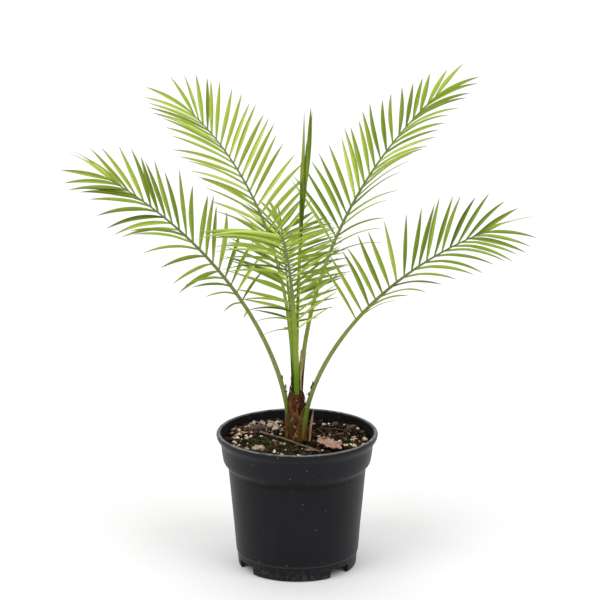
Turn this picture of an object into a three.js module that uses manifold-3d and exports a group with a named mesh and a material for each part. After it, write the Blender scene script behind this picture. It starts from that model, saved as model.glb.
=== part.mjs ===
// Young pygmy date palm in a round nursery pot: pot, potting mix, fibrous trunk, six open fronds,
// the unopened spear leaf and the loose bits lying on the mix.
// Millimetres, +Z up, origin on the pot's axis at the ground; the side that faces the viewer is -Y.
import * as THREE from "three";
import Module from "manifold-3d";

const wasm = await Module();
wasm.setup();
const { Manifold, Mesh: SolidMesh } = wasm;

// ---- driving sizes ----------------------------------------------------------------------------
const LIP_RADIUS = 75; // a 6 inch pot
const POT_HEIGHT = 127.6;
const WALL = 2;
const FOOT_RADIUS = 55.2;
const FOOT_HEIGHT = 13.5;
const FLOOR_UNDER = 9; // the floor stands this far above the ground, inside the foot ring
// The foot's four slots stand in two pairs, one pair on each side of a line through the axis.
const SLOT_WIDTH_DEG = 24;
const SLOT_LINE_DEG = -6.8; // from the front, towards +X
const SLOT_SPREAD_DEG = 52.5; // from the line to each slot of a pair
const SLOT_TOP = 7.8;

const SOIL_LEVEL = 119.6;
const SOIL_RELIEF = 0.9;
const GAP = 0.3; // air between neighbouring pieces

const TRUNK_TOP = 166;
const TRUNK_LEAN = -0.9; // of the top, sideways

const BLADE_WIDTH = 4.8; // of a full-grown leaflet, at its widest
const BLADE_THICK = 0.8;
const BLADE_WIDEST = 0.42; // how far along its length a leaflet is widest
const CLEARANCE = 4.2; // between the midlines of leaflets on different fronds
const STEPS = 160; // of the sum that draws a frond's midline

// Each frond: where its stalk leaves the trunk and where its sheath ends, its heading seen from above,
// its slope at the foot and at the tip with the power that blends them, sideways swing, length, and its
// twist about its own axis. `petiole` is the bare share, `power` blends the leaflets' angles and `fan`
// closes the last ones. Each side of leaflets: their number, the shares of the rib where they start and
// end with how they crowd, the angle with the rib and the lift above the frond's plane, both from the
// lowest leaflet to the last, the sag, a slow ripple of the angle (degrees, waves, phase), and the tilt
// of the blades about their own midlines. `bare` leaflets at the foot of a side have dropped off.
const FRONDS = [
  {
    name: "frond_left_low", seed: 1586, start: [-10.2, -2, 156], foot: [-8.6, -3, 121.4], heading: 189.9,
    slope: [79.7, 33, 0.8], swing: -0.9, length: 269.8, petiole: 0.353, roll: [-16.4, -52],
    stalk: 2.65, flare: 0.2, blade: 71.6, baseShare: 0.79, tipShare: 0.74, power: 1.1, fan: 16.6,
    back: {
      side: -1, count: 20, run: [0.065, 0.997, 0.06], angle: [74.9, 27.8], lift: [21.9, -5.5],
      sag: 0.263, ripple: [6, 3.14, -0.14], tilt: [29, 25],
    },
    fore: {
      side: 1, count: 21, run: [0, 1, 0.09], angle: [63.4, 18.2], lift: [13.1, 8.4],
      sag: 0.228, ripple: [-9.1, 2.99, -0.18], tilt: [38, 10],
    },
  },
  {
    name: "frond_right_low", seed: 1669, start: [8.9, -8, 150], foot: [5.7, -8.8, 121.4], heading: -9.9,
    slope: [79.7, 24.9, 0.71], swing: 0.8, length: 241.6, petiole: 0.337, roll: [24, 55.8],
    stalk: 2.6, flare: 0.2, blade: 65.9, baseShare: 1.15, tipShare: 0.78, power: 1.67, fan: 10.1,
    back: {
      side: 1, count: 18, run: [0.116, 0.998, 0.06], angle: [77.3, 22.1], lift: [35.1, 1.9],
      sag: 0.223, ripple: [-5.4, 2.24, -0.01], tilt: [-8, 63],
    },
    fore: {
      side: -1, count: 14, run: [0.099, 0.988, 0.56], angle: [42, 32.4], lift: [35.5, 3.8],
      sag: 0.306, ripple: [10.4, -0.01, 0.74], tilt: [35, 28],
    },
  },
  {
    name: "frond_left_high", seed: 599, start: [-3.4, -0.6, 168], foot: [-3.2, -0.6, 158], heading: 151.4,
    slope: [88.3, 34.1, 1.44], swing: -6, length: 282.1, petiole: 0.367, roll: [5.2, -11.9],
    stalk: 2.1, flare: 0.05, blade: 75.5, baseShare: 0.9, tipShare: 0.74, power: 1.62, fan: 26.1,
    back: {
      side: -1, count: 23, run: [0.067, 0.988, 0.18], angle: [59.2, 35.9], lift: [25.5, 28.1],
      sag: 0.225, ripple: [3.8, 2.97, 0.27], tilt: [21, -8],
    },
    fore: {
      side: 1, count: 23, run: [0, 0.985, 0.11], angle: [56.4, 29.8], lift: [-0.2, 9.9],
      sag: 0.17, ripple: [5, 2.55, -0.14], tilt: [28, -9],
    },
  },
  {
    name: "frond_right_high", seed: 511, start: [3, -1.6, 169], foot: [2.7, -1.6, 159], heading: 24,
    slope: [87.2, 38.4, 1], swing: -1.4, length: 305.8, petiole: 0.365, roll: [29.6, -1.1],
    stalk: 2.3, flare: 0.05, blade: 74.3, baseShare: 1.03, tipShare: 0.76, power: 1.22, fan: 17.2,
    back: {
      side: 1, count: 20, run: [0.136, 1, -0.19], angle: [53.4, 40.9], lift: [32.5, 1.6],
      sag: 0.143, ripple: [-2.1, 2.53, 1.3], tilt: [-12, 62],
    },
    fore: {
      side: -1, count: 20, run: [0.021, 0.958, 0.06], angle: [46.8, 30.4], lift: [17.5, 5.7],
      sag: 0.286, ripple: [-5.9, 1.65, 0.65], tilt: [43, -14],
    },
  },
  {
    name: "frond_front", seed: 668, start: [-0.3, -5.6, 166], foot: [-0.2, -5, 157], heading: -98.4,
    slope: [86.7, 25.6, 1.13], swing: 4.1, length: 209.5, petiole: 0.226, roll: [-6.2, 0.1],
    stalk: 2.75, flare: 0.05, blade: 67.9, baseShare: 0.48, tipShare: 1.21, power: 1.2, fan: 11.9,
    back: {
      side: 1, count: 19, bare: 1, run: [0.045, 0.992, 0.04], angle: [47.3, 42.5], lift: [15.4, 4.8],
      sag: 0.105, ripple: [-3.9, 2.1, 0.36], tilt: [25, 23],
    },
    fore: {
      side: -1, count: 19, bare: 1, run: [0.045, 0.999, 0.16], angle: [100.1, 73.5], lift: [34.4, 11.4],
      sag: 0.299, ripple: [3.6, 2.07, 0.14], tilt: [85, 57],
    },
  },
  {
    name: "frond_back", seed: 1740, start: [-0.6, 6.4, 166], foot: [-0.6, 5.3, 157], heading: 95.2,
    slope: [86.9, 21.5, 0.2], swing: -1.2, length: 219, petiole: 0.303, roll: [-3.8, 3.7],
    stalk: 1.9, flare: 0.05, blade: 68.4, baseShare: 0.38, tipShare: 0.87, power: 1.33, fan: 33.4,
    back: {
      side: 1, count: 20, run: [0, 1, 0.51], angle: [79, 34.7], lift: [16.9, 25.2],
      sag: 0.146, ripple: [-1.6, 1.01, 0.47], tilt: [-10, 0],
    },
    fore: {
      side: -1, count: 20, run: [0.05, 1, 0.05], angle: [77.6, 50.8], lift: [7.5, -0.5],
      sag: 0.05, ripple: [5.3, 1.96, 0.23], tilt: [14, -20],
    },
  },
];

// ---- small tools ------------------------------------------------------------------------------
const rad = (deg) => (deg * Math.PI) / 180;
const mix = (a, b, t) => a + (b - a) * t;
const clamp01 = (t) => Math.min(1, Math.max(0, t));
const vec = (x, y, z) => new THREE.Vector3(x, y, z);
const along = (p, d, s) => p.clone().addScaledVector(d, s);

// A seeded run of numbers from 0 to 1.
function seeded(seed) {
  let state = seed >>> 0;
  return () => {
    state = (Math.imul(state, 1664525) + 1013904223) >>> 0;
    return state / 4294967296;
  };
}

// A smooth bumpy value of an angle and a height, between about -1 and 1.
function lumps(a, h, k) {
  return (
    0.5 * Math.sin(3 * a + 1.3 * h + k) +
    0.3 * Math.sin(7 * a - 2.1 * h + 2.7 * k) +
    0.2 * Math.sin(12 * a + 3.7 * h + 1.9 * k)
  );
}

// A closed solid through a row of rings with equally many points; a ring of one point is an apex.
function loft(rings) {
  const points = [];
  const faces = [];
  const rows = rings.map((ring) => ring.map((p) => points.push(p.x, p.y, p.z) / 3 - 1));
  const cap = (row, flip) => {
    for (let i = 1; i + 1 < row.length; i++)
      faces.push(...(flip ? [row[0], row[i + 1], row[i]] : [row[0], row[i], row[i + 1]]));
  };
  for (let r = 0; r + 1 < rows.length; r++) {
    const [a, b] = [rows[r], rows[r + 1]];
    const n = Math.max(a.length, b.length);
    for (let i = 0; i < n; i++) {
      const j = (i + 1) % n;
      if (a.length === 1) faces.push(a[0], b[j], b[i]);
      else if (b.length === 1) faces.push(a[i], a[j], b[0]);
      else faces.push(a[i], a[j], b[j], a[i], b[j], b[i]);
    }
  }
  cap(rows[0], true);
  cap(rows[rows.length - 1], false);
  const made = new Manifold(
    new SolidMesh({
      numProp: 3,
      vertProperties: new Float32Array(points),
      triVerts: new Uint32Array(faces),
    }),
  );
  return made;
}

// A ring of points about the vertical axis; `radius` may change with the angle.
function ring(count, z, radius) {
  return Array.from({ length: count }, (_, i) => {
    const a = (2 * Math.PI * i) / count;
    const r = typeof radius === "function" ? radius(a) : radius;
    return vec(r * Math.cos(a), r * Math.sin(a), z);
  });
}

// A solid turned about the vertical axis from [radius, height] pairs that start and end on it.
function turned(profile, count) {
  return loft(profile.map(([r, z]) => (r === 0 ? [vec(0, 0, z)] : ring(count, z, r))));
}

// A rod along a row of { at, u, v, a, b } stations: u and v are its cross directions, a and b the
// half sizes along them.
function rod(stations, sides) {
  return loft(
    stations.map(({ at, u, v, a, b }) =>
      Array.from({ length: sides }, (_, i) => {
        const t = (2 * Math.PI * (i + 0.5)) / sides;
        return along(along(at, u, a * Math.cos(t)), v, b * Math.sin(t));
      }),
    ),
  );
}

const group = new THREE.Group();
function add(name, made, color, roughness) {
  const { numProp, vertProperties, triVerts } = made.getMesh();
  const position = new Float32Array((vertProperties.length / numProp) * 3);
  for (let i = 0; i * numProp < vertProperties.length; i++)
    position.set(vertProperties.subarray(i * numProp, i * numProp + 3), i * 3);
  const geometry = new THREE.BufferGeometry()
    .setAttribute("position", new THREE.BufferAttribute(position, 3))
    .setIndex(new THREE.BufferAttribute(new Uint32Array(triVerts), 1));
  const mesh = new THREE.Mesh(
    geometry,
    new THREE.MeshStandardMaterial({ color, roughness, metalness: 0 }),
  );
  mesh.name = name;
  group.add(mesh);
  return mesh;
}

// ---- pot: thin moulded cup with a rolled lip, a collar, a tapered body and a slotted foot ring ----
const INNER_TOP = 68.2; // inside radius under the lip
const INNER_FOOT = 54;
const FLOOR_TOP = FLOOR_UNDER + WALL;

function potBody() {
  const outside = [
    [0, FLOOR_UNDER],
    [FOOT_RADIUS - 3, FLOOR_UNDER],
    [FOOT_RADIUS - 3, 0],
    [FOOT_RADIUS, 0],
    [FOOT_RADIUS + 1.3, FOOT_HEIGHT - 0.5],
    [FOOT_RADIUS + 2, FOOT_HEIGHT + 0.6],
    [61.2, 60],
    [64, 91.6],
    [64.7, 94.2],
    [67.8, 98.6],
    [68.8, 100.6],
    [70.9, 116.6],
  ];
  const lip = [
    [73.6, 120.9],
    [LIP_RADIUS - 0.3, 123.6],
    [LIP_RADIUS, 125.8],
    [73.6, POT_HEIGHT],
    [70.6, POT_HEIGHT - 0.6],
  ];
  const inside = [
    [INNER_TOP, SOIL_LEVEL + 1],
    [65.8, 97],
    [61.6, 91],
    [INNER_FOOT, FLOOR_TOP + 4],
    [INNER_FOOT - 4, FLOOR_TOP],
    [0, FLOOR_TOP],
  ];
  let pot = turned([...outside, ...lip, ...inside], 48);
  const half = rad(SLOT_WIDTH_DEG / 2);
  const slots = [0, 180].flatMap((side) =>
    [-1, 1].map((end) => rad(-90 + SLOT_LINE_DEG + side + end * SLOT_SPREAD_DEG)),
  );
  for (const middle of slots) {
    const cut = [-1, SLOT_TOP].map((z) =>
      [
        [FOOT_RADIUS - 6, -half],
        [FOOT_RADIUS + 8, -half],
        [FOOT_RADIUS + 8, half],
        [FOOT_RADIUS - 6, half],
      ].map(([r, a]) => vec(r * Math.cos(middle + a), r * Math.sin(middle + a), z)),
    );
    pot = pot.subtract(loft(cut));
  }
  // drain holes in the floor, one behind each slot
  const hole = (x, y) => loft([FLOOR_UNDER - 1, FLOOR_TOP + 1].map((z) => ring(12, z, 5)
    .map((p) => p.add(vec(x, y, 0)))));
  for (const a of slots) pot = pot.subtract(hole(36 * Math.cos(a), 36 * Math.sin(a)));
  return pot;
}
add("pot", potBody(), 0x1b1c1e, 0.45);

// ---- potting mix: fills the pot to just under the lip, with a shallow uneven top -----------------
const soilHeight = (x, y) =>
  SOIL_LEVEL +
  SOIL_RELIEF * lumps(Math.atan2(y, x), Math.hypot(x, y) / 14, 0.6) * clamp01(Math.hypot(x, y) / 30);

function soilBody() {
  const round = 36;
  const wall = [
    [0, FLOOR_TOP + GAP],
    [INNER_FOOT - 4.6, FLOOR_TOP + GAP],
    [INNER_FOOT - 0.5, FLOOR_TOP + 4.4],
    [61.0, 90.8],
    [65.2, 97.2],
  ];
  const rows = wall.map(([r, z]) => (r === 0 ? [vec(0, 0, z)] : ring(round, z, r)));
  for (const r of [67.4, 60, 50, 38, 25, 15])
    rows.push(ring(round, 0, r).map((p) => vec(p.x, p.y, soilHeight(p.x, p.y))));
  rows.push([vec(0, 0, SOIL_LEVEL)]);
  return loft(rows);
}
add("soil", soilBody(), 0x2c231b, 0.95);

// ---- fronds --------------------------------------------------------------------------------------
// The midline of a frond: its points and, between them, its directions.
function midline(f) {
  const points = [vec(...f.start)];
  const turns = [];
  for (let i = 0; i < STEPS; i++) {
    const u = (i + 0.5) / STEPS;
    const rise = rad(mix(f.slope[0], f.slope[1], u ** f.slope[2]));
    const head = rad(f.heading + f.swing * u * u);
    const t = vec(Math.cos(rise) * Math.cos(head), Math.cos(rise) * Math.sin(head), Math.sin(rise));
    turns.push([rise, head]);
    points.push(along(points[i], t, f.length / STEPS));
  }
  return { points, turns };
}

// The point of the midline at share u, with the frond's own directions there: along the rib, across
// the frond to its left, and up from its upper face.
function frameAt(f, line, u) {
  const g = clamp01(u) * STEPS;
  const i = Math.min(STEPS - 1, Math.floor(g));
  const at = line.points[i].clone().lerp(line.points[i + 1], g - i);
  const h = Math.min(STEPS - 1, Math.max(0, g - 0.5));
  const j = Math.min(STEPS - 2, Math.floor(h));
  const rise = mix(line.turns[j][0], line.turns[j + 1][0], h - j);
  const head = mix(line.turns[j][1], line.turns[j + 1][1], h - j);
  const t = vec(Math.cos(rise) * Math.cos(head), Math.cos(rise) * Math.sin(head), Math.sin(rise));
  const s = vec(-Math.sin(head), Math.cos(head), 0);
  const n = t.clone().cross(s);
  const roll = rad(mix(f.roll[0], f.roll[1], u));
  return {
    at,
    t,
    s: s.clone().multiplyScalar(Math.cos(roll)).addScaledVector(n, Math.sin(roll)),
    n: n.clone().multiplyScalar(Math.cos(roll)).addScaledVector(s, -Math.sin(roll)),
  };
}

// Half width of the stalk and rib at share u of the frond.
const ribRadius = (f, u) => mix(f.stalk, 0.45, clamp01(u) ** 1.2);

// One leaflet: its midline bends down under its own weight. `extra` lifts it further, `shrink`
// shortens it.
function leaflet(f, line, side, k, wobble, extra, shrink) {
  const step = k / (side.count - 1);
  const [first, last, crowd] = side.run;
  const w = clamp01(mix(first, last, step + crowd * step * (1 - step)));
  const u = f.petiole + (1 - f.petiole) * w;
  const { at, t, s, n } = frameAt(f, line, u);
  const [amount, waves, phase] = side.ripple;
  const angle = rad(
    mix(side.angle[0], side.angle[1], w ** f.power) -
      f.fan * clamp01((w - 0.88) / 0.12) ** 1.5 +
      amount * Math.sin(2 * Math.PI * (waves * w + phase)) +
      5 * (wobble[0] - 0.5),
  );
  const lift = rad(mix(side.lift[0], side.lift[1], w) + 8 * (wobble[1] - 0.5) + extra);
  const d = t
    .clone()
    .multiplyScalar(Math.cos(angle))
    .addScaledVector(s, side.side * Math.sin(angle) * Math.cos(lift))
    .addScaledVector(n, Math.sin(angle) * Math.sin(lift));
  const profile =
    w < 0.45
      ? mix(f.baseShare, 1, 1 - (1 - w / 0.45) ** 2)
      : mix(1, f.tipShare, ((w - 0.45) / 0.55) ** 2);
  const young = clamp01(0.35 + w / 0.12); // the lowest few are short and spiny
  const length = f.blade * profile * young * (1 + 0.08 * (wobble[2] - 0.5)) * shrink;
  const sag = side.sag * length * Math.hypot(d.x, d.y);
  const point = (r) => along(at, d, length * r).add(vec(0, 0, -sag * r * r));
  const twist = side.side * mix(side.tilt[0], side.tilt[1], w) + 30 * (wobble[3] - 0.5);
  return { t, w, length, point, twist };
}

// Shortest distance between two straight pieces a-b and c-d.
function apart(a, b, c, d) {
  const u = b.clone().sub(a);
  const v = d.clone().sub(c);
  const r = a.clone().sub(c);
  const uu = u.dot(u);
  const vv = v.dot(v);
  const uv = u.dot(v);
  const ur = u.dot(r);
  const vr = v.dot(r);
  const den = uu * vv - uv * uv;
  let s = den > 1e-9 ? clamp01((uv * vr - vv * ur) / den) : 0;
  const t = clamp01((uv * s + vr) / vv);
  s = clamp01((uv * t - ur) / uu);
  return along(a, u, s).distanceTo(along(c, v, t));
}

// Every leaflet of every frond. One that would come too near another frond, the spear or the pot is
// lifted or lowered, then shortened; when nothing helps it is left out.
const LIFTS = [0, 9, -9, 18, -18, 27, -27];
function growAll(fronds, spear) {
  const taken = spear.map(([a, b, need]) => ({ name: "spear", a, b, need }));
  const lines = fronds.map((f) => midline(f));
  fronds.forEach((f, i) => {
    for (let k = 0; k < 16; k++) {
      const [u, v] = [k / 16, (k + 1) / 16];
      taken.push({
        name: f.name,
        a: frameAt(f, lines[i], u).at,
        b: frameAt(f, lines[i], v).at,
        need: ribRadius(f, u) + 0.5 * BLADE_WIDTH + 0.2,
      });
    }
  });
  return fronds.map((f, i) => {
    const next = seeded(f.seed);
    const kept = [];
    for (const side of [f.back, f.fore])
      for (let k = 0; k < side.count; k++) {
        const wobble = [next(), next(), next(), next()];
        if (k < (side.bare ?? 0)) continue;
        let found = null;
        for (const shrink of [1, 0.82, 0.66]) {
          for (const extra of LIFTS) {
            const one = leaflet(f, lines[i], side, k, wobble, extra, shrink);
            const spots = [one.point(0.06), one.point(0.5), one.point(1)];
            const clear = taken.every(
              (o) =>
                o.name === f.name ||
                (apart(spots[0], spots[1], o.a, o.b) > o.need &&
                  apart(spots[1], spots[2], o.a, o.b) > o.need),
            );
            if (clear) {
              found = { one, spots };
              break;
            }
          }
          if (found) break;
        }
        if (!found) continue;
        kept.push(found.one);
        const [p, q, r] = found.spots;
        taken.push({ name: f.name, a: p, b: q, need: CLEARANCE });
        taken.push({ name: f.name, a: q, b: r, need: CLEARANCE });
      }
    return { f, line: lines[i], leaflets: kept };
  });
}

// A leaflet as a thin keeled blade: a small foot sunk in the rib, its widest place, a point.
function bladeBody({ t, w, length, point, twist }) {
  const section = (r, half, thick) => {
    const ahead = point(Math.min(1, r + 0.02)).sub(point(r)).normalize();
    const flat = t.clone().addScaledVector(ahead, -t.dot(ahead)).normalize();
    const up = ahead.clone().cross(flat);
    const c = Math.cos(rad(twist));
    const s = Math.sin(rad(twist));
    const wide = flat.clone().multiplyScalar(c).addScaledVector(up, s);
    const tall = up.clone().multiplyScalar(c).addScaledVector(flat, -s);
    const at = along(point(r), tall, thick / 3);
    return [along(at, wide, half), along(at, wide, -half), along(at, tall, -thick)];
  };
  const share = mix(0.5, 1, clamp01(w / 0.25));
  return loft([
    section(-0.2 / length, 0.6, BLADE_THICK),
    section(BLADE_WIDEST, (BLADE_WIDTH / 2) * share, BLADE_THICK),
    [point(1)],
  ]);
}

// The stalk and rib: its sheath bends down against or inside the trunk to the foot, and beyond it the
// rod follows the midline. `grow` widens it, for the socket it leaves in the trunk.
function stalkBody(f, line, grow, last, sides) {
  const stations = [];
  const first = frameAt(f, line, 0);
  const foot = vec(...f.foot);
  const reach = foot.distanceTo(first.at) / 3;
  const up = vec(0, 0, 1);
  const sheath = new THREE.CubicBezierCurve3(
    foot,
    along(foot, up, reach),
    along(first.at, first.t, -reach),
    first.at,
  );
  const held = Math.max(3, Math.round(reach / 2));
  for (let i = grow > 0 ? -1 : 0; i < held; i++) {
    const share = Math.max(0, i) / held;
    const t = sheath.getTangent(share);
    const u = first.s.clone().addScaledVector(t, -first.s.dot(t)).normalize();
    const r = f.stalk * (1 + f.flare * (1 - share));
    const at = sheath.getPoint(share);
    if (i < 0) at.addScaledVector(up, -1.2); // the socket goes on a little below the sheath
    stations.push({ at, u, v: t.clone().cross(u), a: r + grow, b: r * 0.85 + grow });
  }
  const rows = Math.round(15 * last) + 1;
  for (let i = 0; i <= rows; i++) {
    const u = (last * i) / rows;
    const { at, s, n } = frameAt(f, line, u);
    const r = ribRadius(f, u);
    stations.push({ at, u: s, v: n, a: r + grow, b: r * 0.85 + grow });
  }
  return rod(stations, sides);
}

// ---- spear leaf: the youngest frond, folded flat, widening upward until its blades part ------------
const SPEAR = { foot: [-0.5, 2, 160], tip: [8.5, 6, 402], half: 1.45, spread: 2.4, parts: 0.955 };
const spearPoint = (u) =>
  vec(
    mix(SPEAR.foot[0], SPEAR.tip[0], u * u),
    mix(SPEAR.foot[1], SPEAR.tip[1], u),
    mix(SPEAR.foot[2], SPEAR.tip[2], u),
  );
const spearHalf = (u) => {
  const t = clamp01((u - 0.57) / 0.4);
  return SPEAR.half + SPEAR.spread * t * t * (3 - 2 * t);
};
function spearParts() {
  const across = { u: vec(1, 0, 0), v: vec(0, 1, 0) };
  const stations = [0, 0.3, 0.57, 0.65, 0.73, 0.81, 0.89, SPEAR.parts].map((u) => ({
    at: spearPoint(u),
    ...across,
    a: spearHalf(u),
    b: mix(1.3, 0.9, u),
  }));
  const blade = (dx, half, tip) => {
    const from = spearPoint(0.88).add(vec(dx, 0, 0));
    const to = vec(...tip);
    const flat = (p, w, th) => [
      p.clone().add(vec(w, 0, 0)),
      p.clone().add(vec(0, th, 0)),
      p.clone().add(vec(-w, 0, 0)),
      p.clone().add(vec(0, -th, 0)),
    ];
    return loft([flat(from, half * 0.9, 0.7), flat(from.clone().lerp(to, 0.5), half, 0.8), [to]]);
  };
  return {
    body: Manifold.union([
      rod(stations, 8),
      blade(-1.8, 1.35, [6.6, 5.6, 427]),
      blade(1.8, 1.9, [12.9, 6.4, 429]),
    ]),
    socket: (grow) =>
      rod(
        [-0.01, 0.06, 0.16].map((u) => ({
          at: spearPoint(u).setX(spearPoint(Math.max(0, u)).x),
          ...across,
          a: SPEAR.half + grow,
          b: 1.3 + grow,
        })),
        12,
      ),
    pieces: [0, 0.25, 0.5, 0.75].map((u) => [
      spearPoint(u),
      spearPoint(u + 0.25),
      spearHalf(u + 0.2) + 0.6 * BLADE_WIDTH,
    ]),
  };
}
const spear = spearParts();
const crown = growAll(FRONDS, spear.pieces);
for (const { f, line, leaflets } of crown) {
  const made = Manifold.union([stalkBody(f, line, 0, 1, 6), ...leaflets.map(bladeBody)]);
  add(f.name, made, 0x6f9a2c, 0.5);
}
add("spear_leaf", spear.body, 0x5d8526, 0.5);

// ---- trunk: short, flared at the soil, wrapped in old leaf bases, with a groove or socket for each
// stalk; its rows are [height, radius] ------------------------------------------------------------
function trunkBody() {
  const base = SOIL_LEVEL + SOIL_RELIEF + GAP;
  const rows = [
    [base, 10.9],
    [123.5, 10.2],
    [128, 9.5],
    [134, 9],
    [140, 8.7],
    [146, 8.5],
    [151, 8.3],
    [156, 7.8],
    [160, 7.1],
    [163.5, 6.4],
    [TRUNK_TOP, 5.4],
  ];
  const body = loft(
    rows.map(([z, radius]) =>
      ring(28, z, (a) => {
        const wrap = ((a / (2 * Math.PI)) * 3 + z / 15) % 1; // overlapping leaf bases, in a spiral
        return radius * (0.97 + 0.06 * (wrap < 0 ? wrap + 1 : wrap) + 0.03 * lumps(a, z / 9, 2));
      }).map((p) => p.setX(p.x + (TRUNK_LEAN * (z - base)) / (TRUNK_TOP - base))),
    ),
  );
  const sockets = crown.map(({ f, line }) => stalkBody(f, line, GAP + 0.15, 0.14, 12));
  return body.subtract(Manifold.union([...sockets, spear.socket(GAP + 0.1)]));
}
add("trunk", trunkBody(), 0x5b3a24, 0.9);

// ---- loose bits --------------------------------------------------------------------------------
// A strip of dried sheath standing beside the trunk, a twig, a dead leaflet flake and bark chips.
function strip(points, half, thick) {
  const path = new THREE.CatmullRomCurve3(points);
  const stations = Array.from({ length: 7 }, (_, i) => {
    const t = path.getTangent(i / 6);
    const side = vec(0, 1, 0).cross(t).normalize();
    const taper = 1 - 0.5 * (i / 6) ** 2;
    return { at: path.getPoint(i / 6), u: side, v: t.clone().cross(side), a: half * taper, b: thick };
  });
  return rod(stations, 6);
}
const REST = SOIL_LEVEL + SOIL_RELIEF + GAP;
const stripPath = [vec(11.6, -7.2, REST), vec(12.7, -6.5, 134), vec(15.2, -5, 150)];
add("dry_sheath", strip(stripPath, 1.3, 0.5), 0xa38468, 0.9);

function twigBody() {
  const [a, b] = [vec(-35, 15, REST + 1), vec(21, -43, REST + 1)];
  const bend = [0, 0.25, 0.5, 0.75, 1].map((u) =>
    a.clone().lerp(b, u).add(vec(0, 1.2 * Math.sin(5 * u), 0.4 * Math.sin(3 * u))),
  );
  const side = vec(0, 0, 1).cross(b.clone().sub(a)).normalize();
  return rod(
    bend.map((at, i) => ({ at, u: side, v: vec(0, 0, 1), a: 0.9 - 0.12 * i, b: 0.8 - 0.1 * i })),
    6,
  );
}
add("twig", twigBody(), 0x6b4a33, 0.9);

// A flat chip: `long` and `wide` half sizes, turned by `turn` degrees, its far end raised by `raise`.
function chip(x, y, long, wide, thick, turn, seed, raise = 0.4) {
  const next = seeded(seed);
  const outline = Array.from({ length: 7 }, (_, i) => {
    const a = (2 * Math.PI * i) / 7;
    const r = 0.8 + 0.35 * next();
    return [long * r * Math.cos(a), wide * r * Math.sin(a)];
  });
  const c = Math.cos(rad(turn));
  const s = Math.sin(rad(turn));
  return loft(
    [0, thick].map((h, k) =>
      outline.map(([p, q]) => {
        const m = k ? 0.85 : 1;
        const up = (raise / 2) * (1.2 - p / long);
        return vec(x + m * (p * c - q * s), y + m * (p * s + q * c), REST + h + up);
      }),
    ),
  );
}
add("dead_leaflet", chip(29.5, -28, 14, 9, 1.2, -48, 5, 4), 0xa5796a, 0.85);
add("bark_chip_1", chip(36, 44, 4.5, 3, 1.8, 80, 7), 0x6e3f2f, 0.9);
add("bark_chip_2", chip(51, 34, 5, 3, 2.4, 30, 9), 0x744534, 0.9);
add("bark_chip_3", chip(-36, -31, 6, 3.4, 2.8, 12, 13), 0xb79c72, 0.9);

export default group;
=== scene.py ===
# %% [markdown]
# # A young feather-leaved plant in a nursery pot
# The plant is six open fronds and one folded spear on a short fibrous trunk, in a black pot of potting mix.
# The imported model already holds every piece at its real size. Here each piece is dressed: a finer mesh
# takes the place of the plain solid, and a node-based finish gives it colour, gloss and grain.

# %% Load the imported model
from collections import namedtuple
from math import atan2, copysign, cos, exp, hypot, pi, radians, sin, sqrt, tau

import bmesh
import bpy
import numpy as np
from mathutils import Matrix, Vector, noise


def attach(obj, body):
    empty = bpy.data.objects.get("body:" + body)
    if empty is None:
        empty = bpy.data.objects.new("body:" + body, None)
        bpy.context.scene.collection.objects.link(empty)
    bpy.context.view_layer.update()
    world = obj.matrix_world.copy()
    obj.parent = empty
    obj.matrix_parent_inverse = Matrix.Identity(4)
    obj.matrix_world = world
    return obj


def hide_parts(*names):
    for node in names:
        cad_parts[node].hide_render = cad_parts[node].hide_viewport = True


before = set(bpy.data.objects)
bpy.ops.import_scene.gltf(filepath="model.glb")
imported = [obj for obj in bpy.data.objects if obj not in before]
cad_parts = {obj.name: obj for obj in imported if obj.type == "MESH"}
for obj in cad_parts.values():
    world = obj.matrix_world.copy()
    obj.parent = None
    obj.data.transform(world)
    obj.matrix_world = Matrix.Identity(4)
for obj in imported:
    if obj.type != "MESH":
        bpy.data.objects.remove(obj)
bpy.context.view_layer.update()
MM = 0.001  # the shapes below are worked out in millimetres, and meshes are written in metres

# %% [markdown]
# A plant is built from rules with some chance in them. Every draw comes from a seeded run of numbers, so
# the same plant grows each time. The leaf rule uses a small run of its own, the same as the solids were
# grown by. A few helpers take up what every shape needs: blends, rings, and shares of the way along
# something.


# %% Number helpers
def mix(a, b, t):
    return a + (b - a) * t


def clamp01(t):
    return min(1.0, max(0.0, t))


def smooth(lo, hi, t):
    s = clamp01((t - lo) / (hi - lo))
    return s * s * (3 - 2 * s)


def vec(x, y, z):
    return np.array([x, y, z], float)


def unit(v):
    return v / np.linalg.norm(v)


def seeded(seed):
    state = seed

    def draw():
        nonlocal state
        state = (state * 1664525 + 1013904223) % 4294967296
        return state / 4294967296

    return draw


def lumps(a, h, k):
    """A smooth bumpy value of an angle and a height, between about -1 and 1."""
    return (
        0.5 * sin(3 * a + 1.3 * h + k)
        + 0.3 * sin(7 * a - 2.1 * h + 2.7 * k)
        + 0.2 * sin(12 * a + 3.7 * h + 1.9 * k)
    )


def rumple(x, y, z):
    return noise.noise(Vector((x, y, z)))


def shares(n):
    """n evenly spaced numbers from 0 to 1."""
    return [k / (n - 1) for k in range(n)]


def angles(n, shift=0.0):
    return [tau * (i + shift) / n for i in range(n)]


def polar(r, a, z):
    return vec(r * cos(a), r * sin(a), z)


def ellipse(at, u, v, n, shift=0.0):
    """A ring of n points round `at`, with half axes u and v."""
    return [at + u * cos(t) + v * sin(t) for t in angles(n, shift)]


def ahead_at(points, k):
    return unit(points[min(len(points) - 1, k + 1)] - points[max(0, k - 1)])


def each(value, n):
    """One value for each of n things: a row of values as it is, or a single one n times."""
    return value if hasattr(value, "__len__") else [value] * n


# %% [markdown]
# Thousands of leaflets and grains as separate objects would be slow and awkward. Instead each kind is
# gathered in one heap of corners and faces, and becomes one mesh. Two numbers travel with every corner: how
# far along its blade it lies, and a chance value that is the same all over one leaflet or grain. Finishes
# read them.


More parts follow.
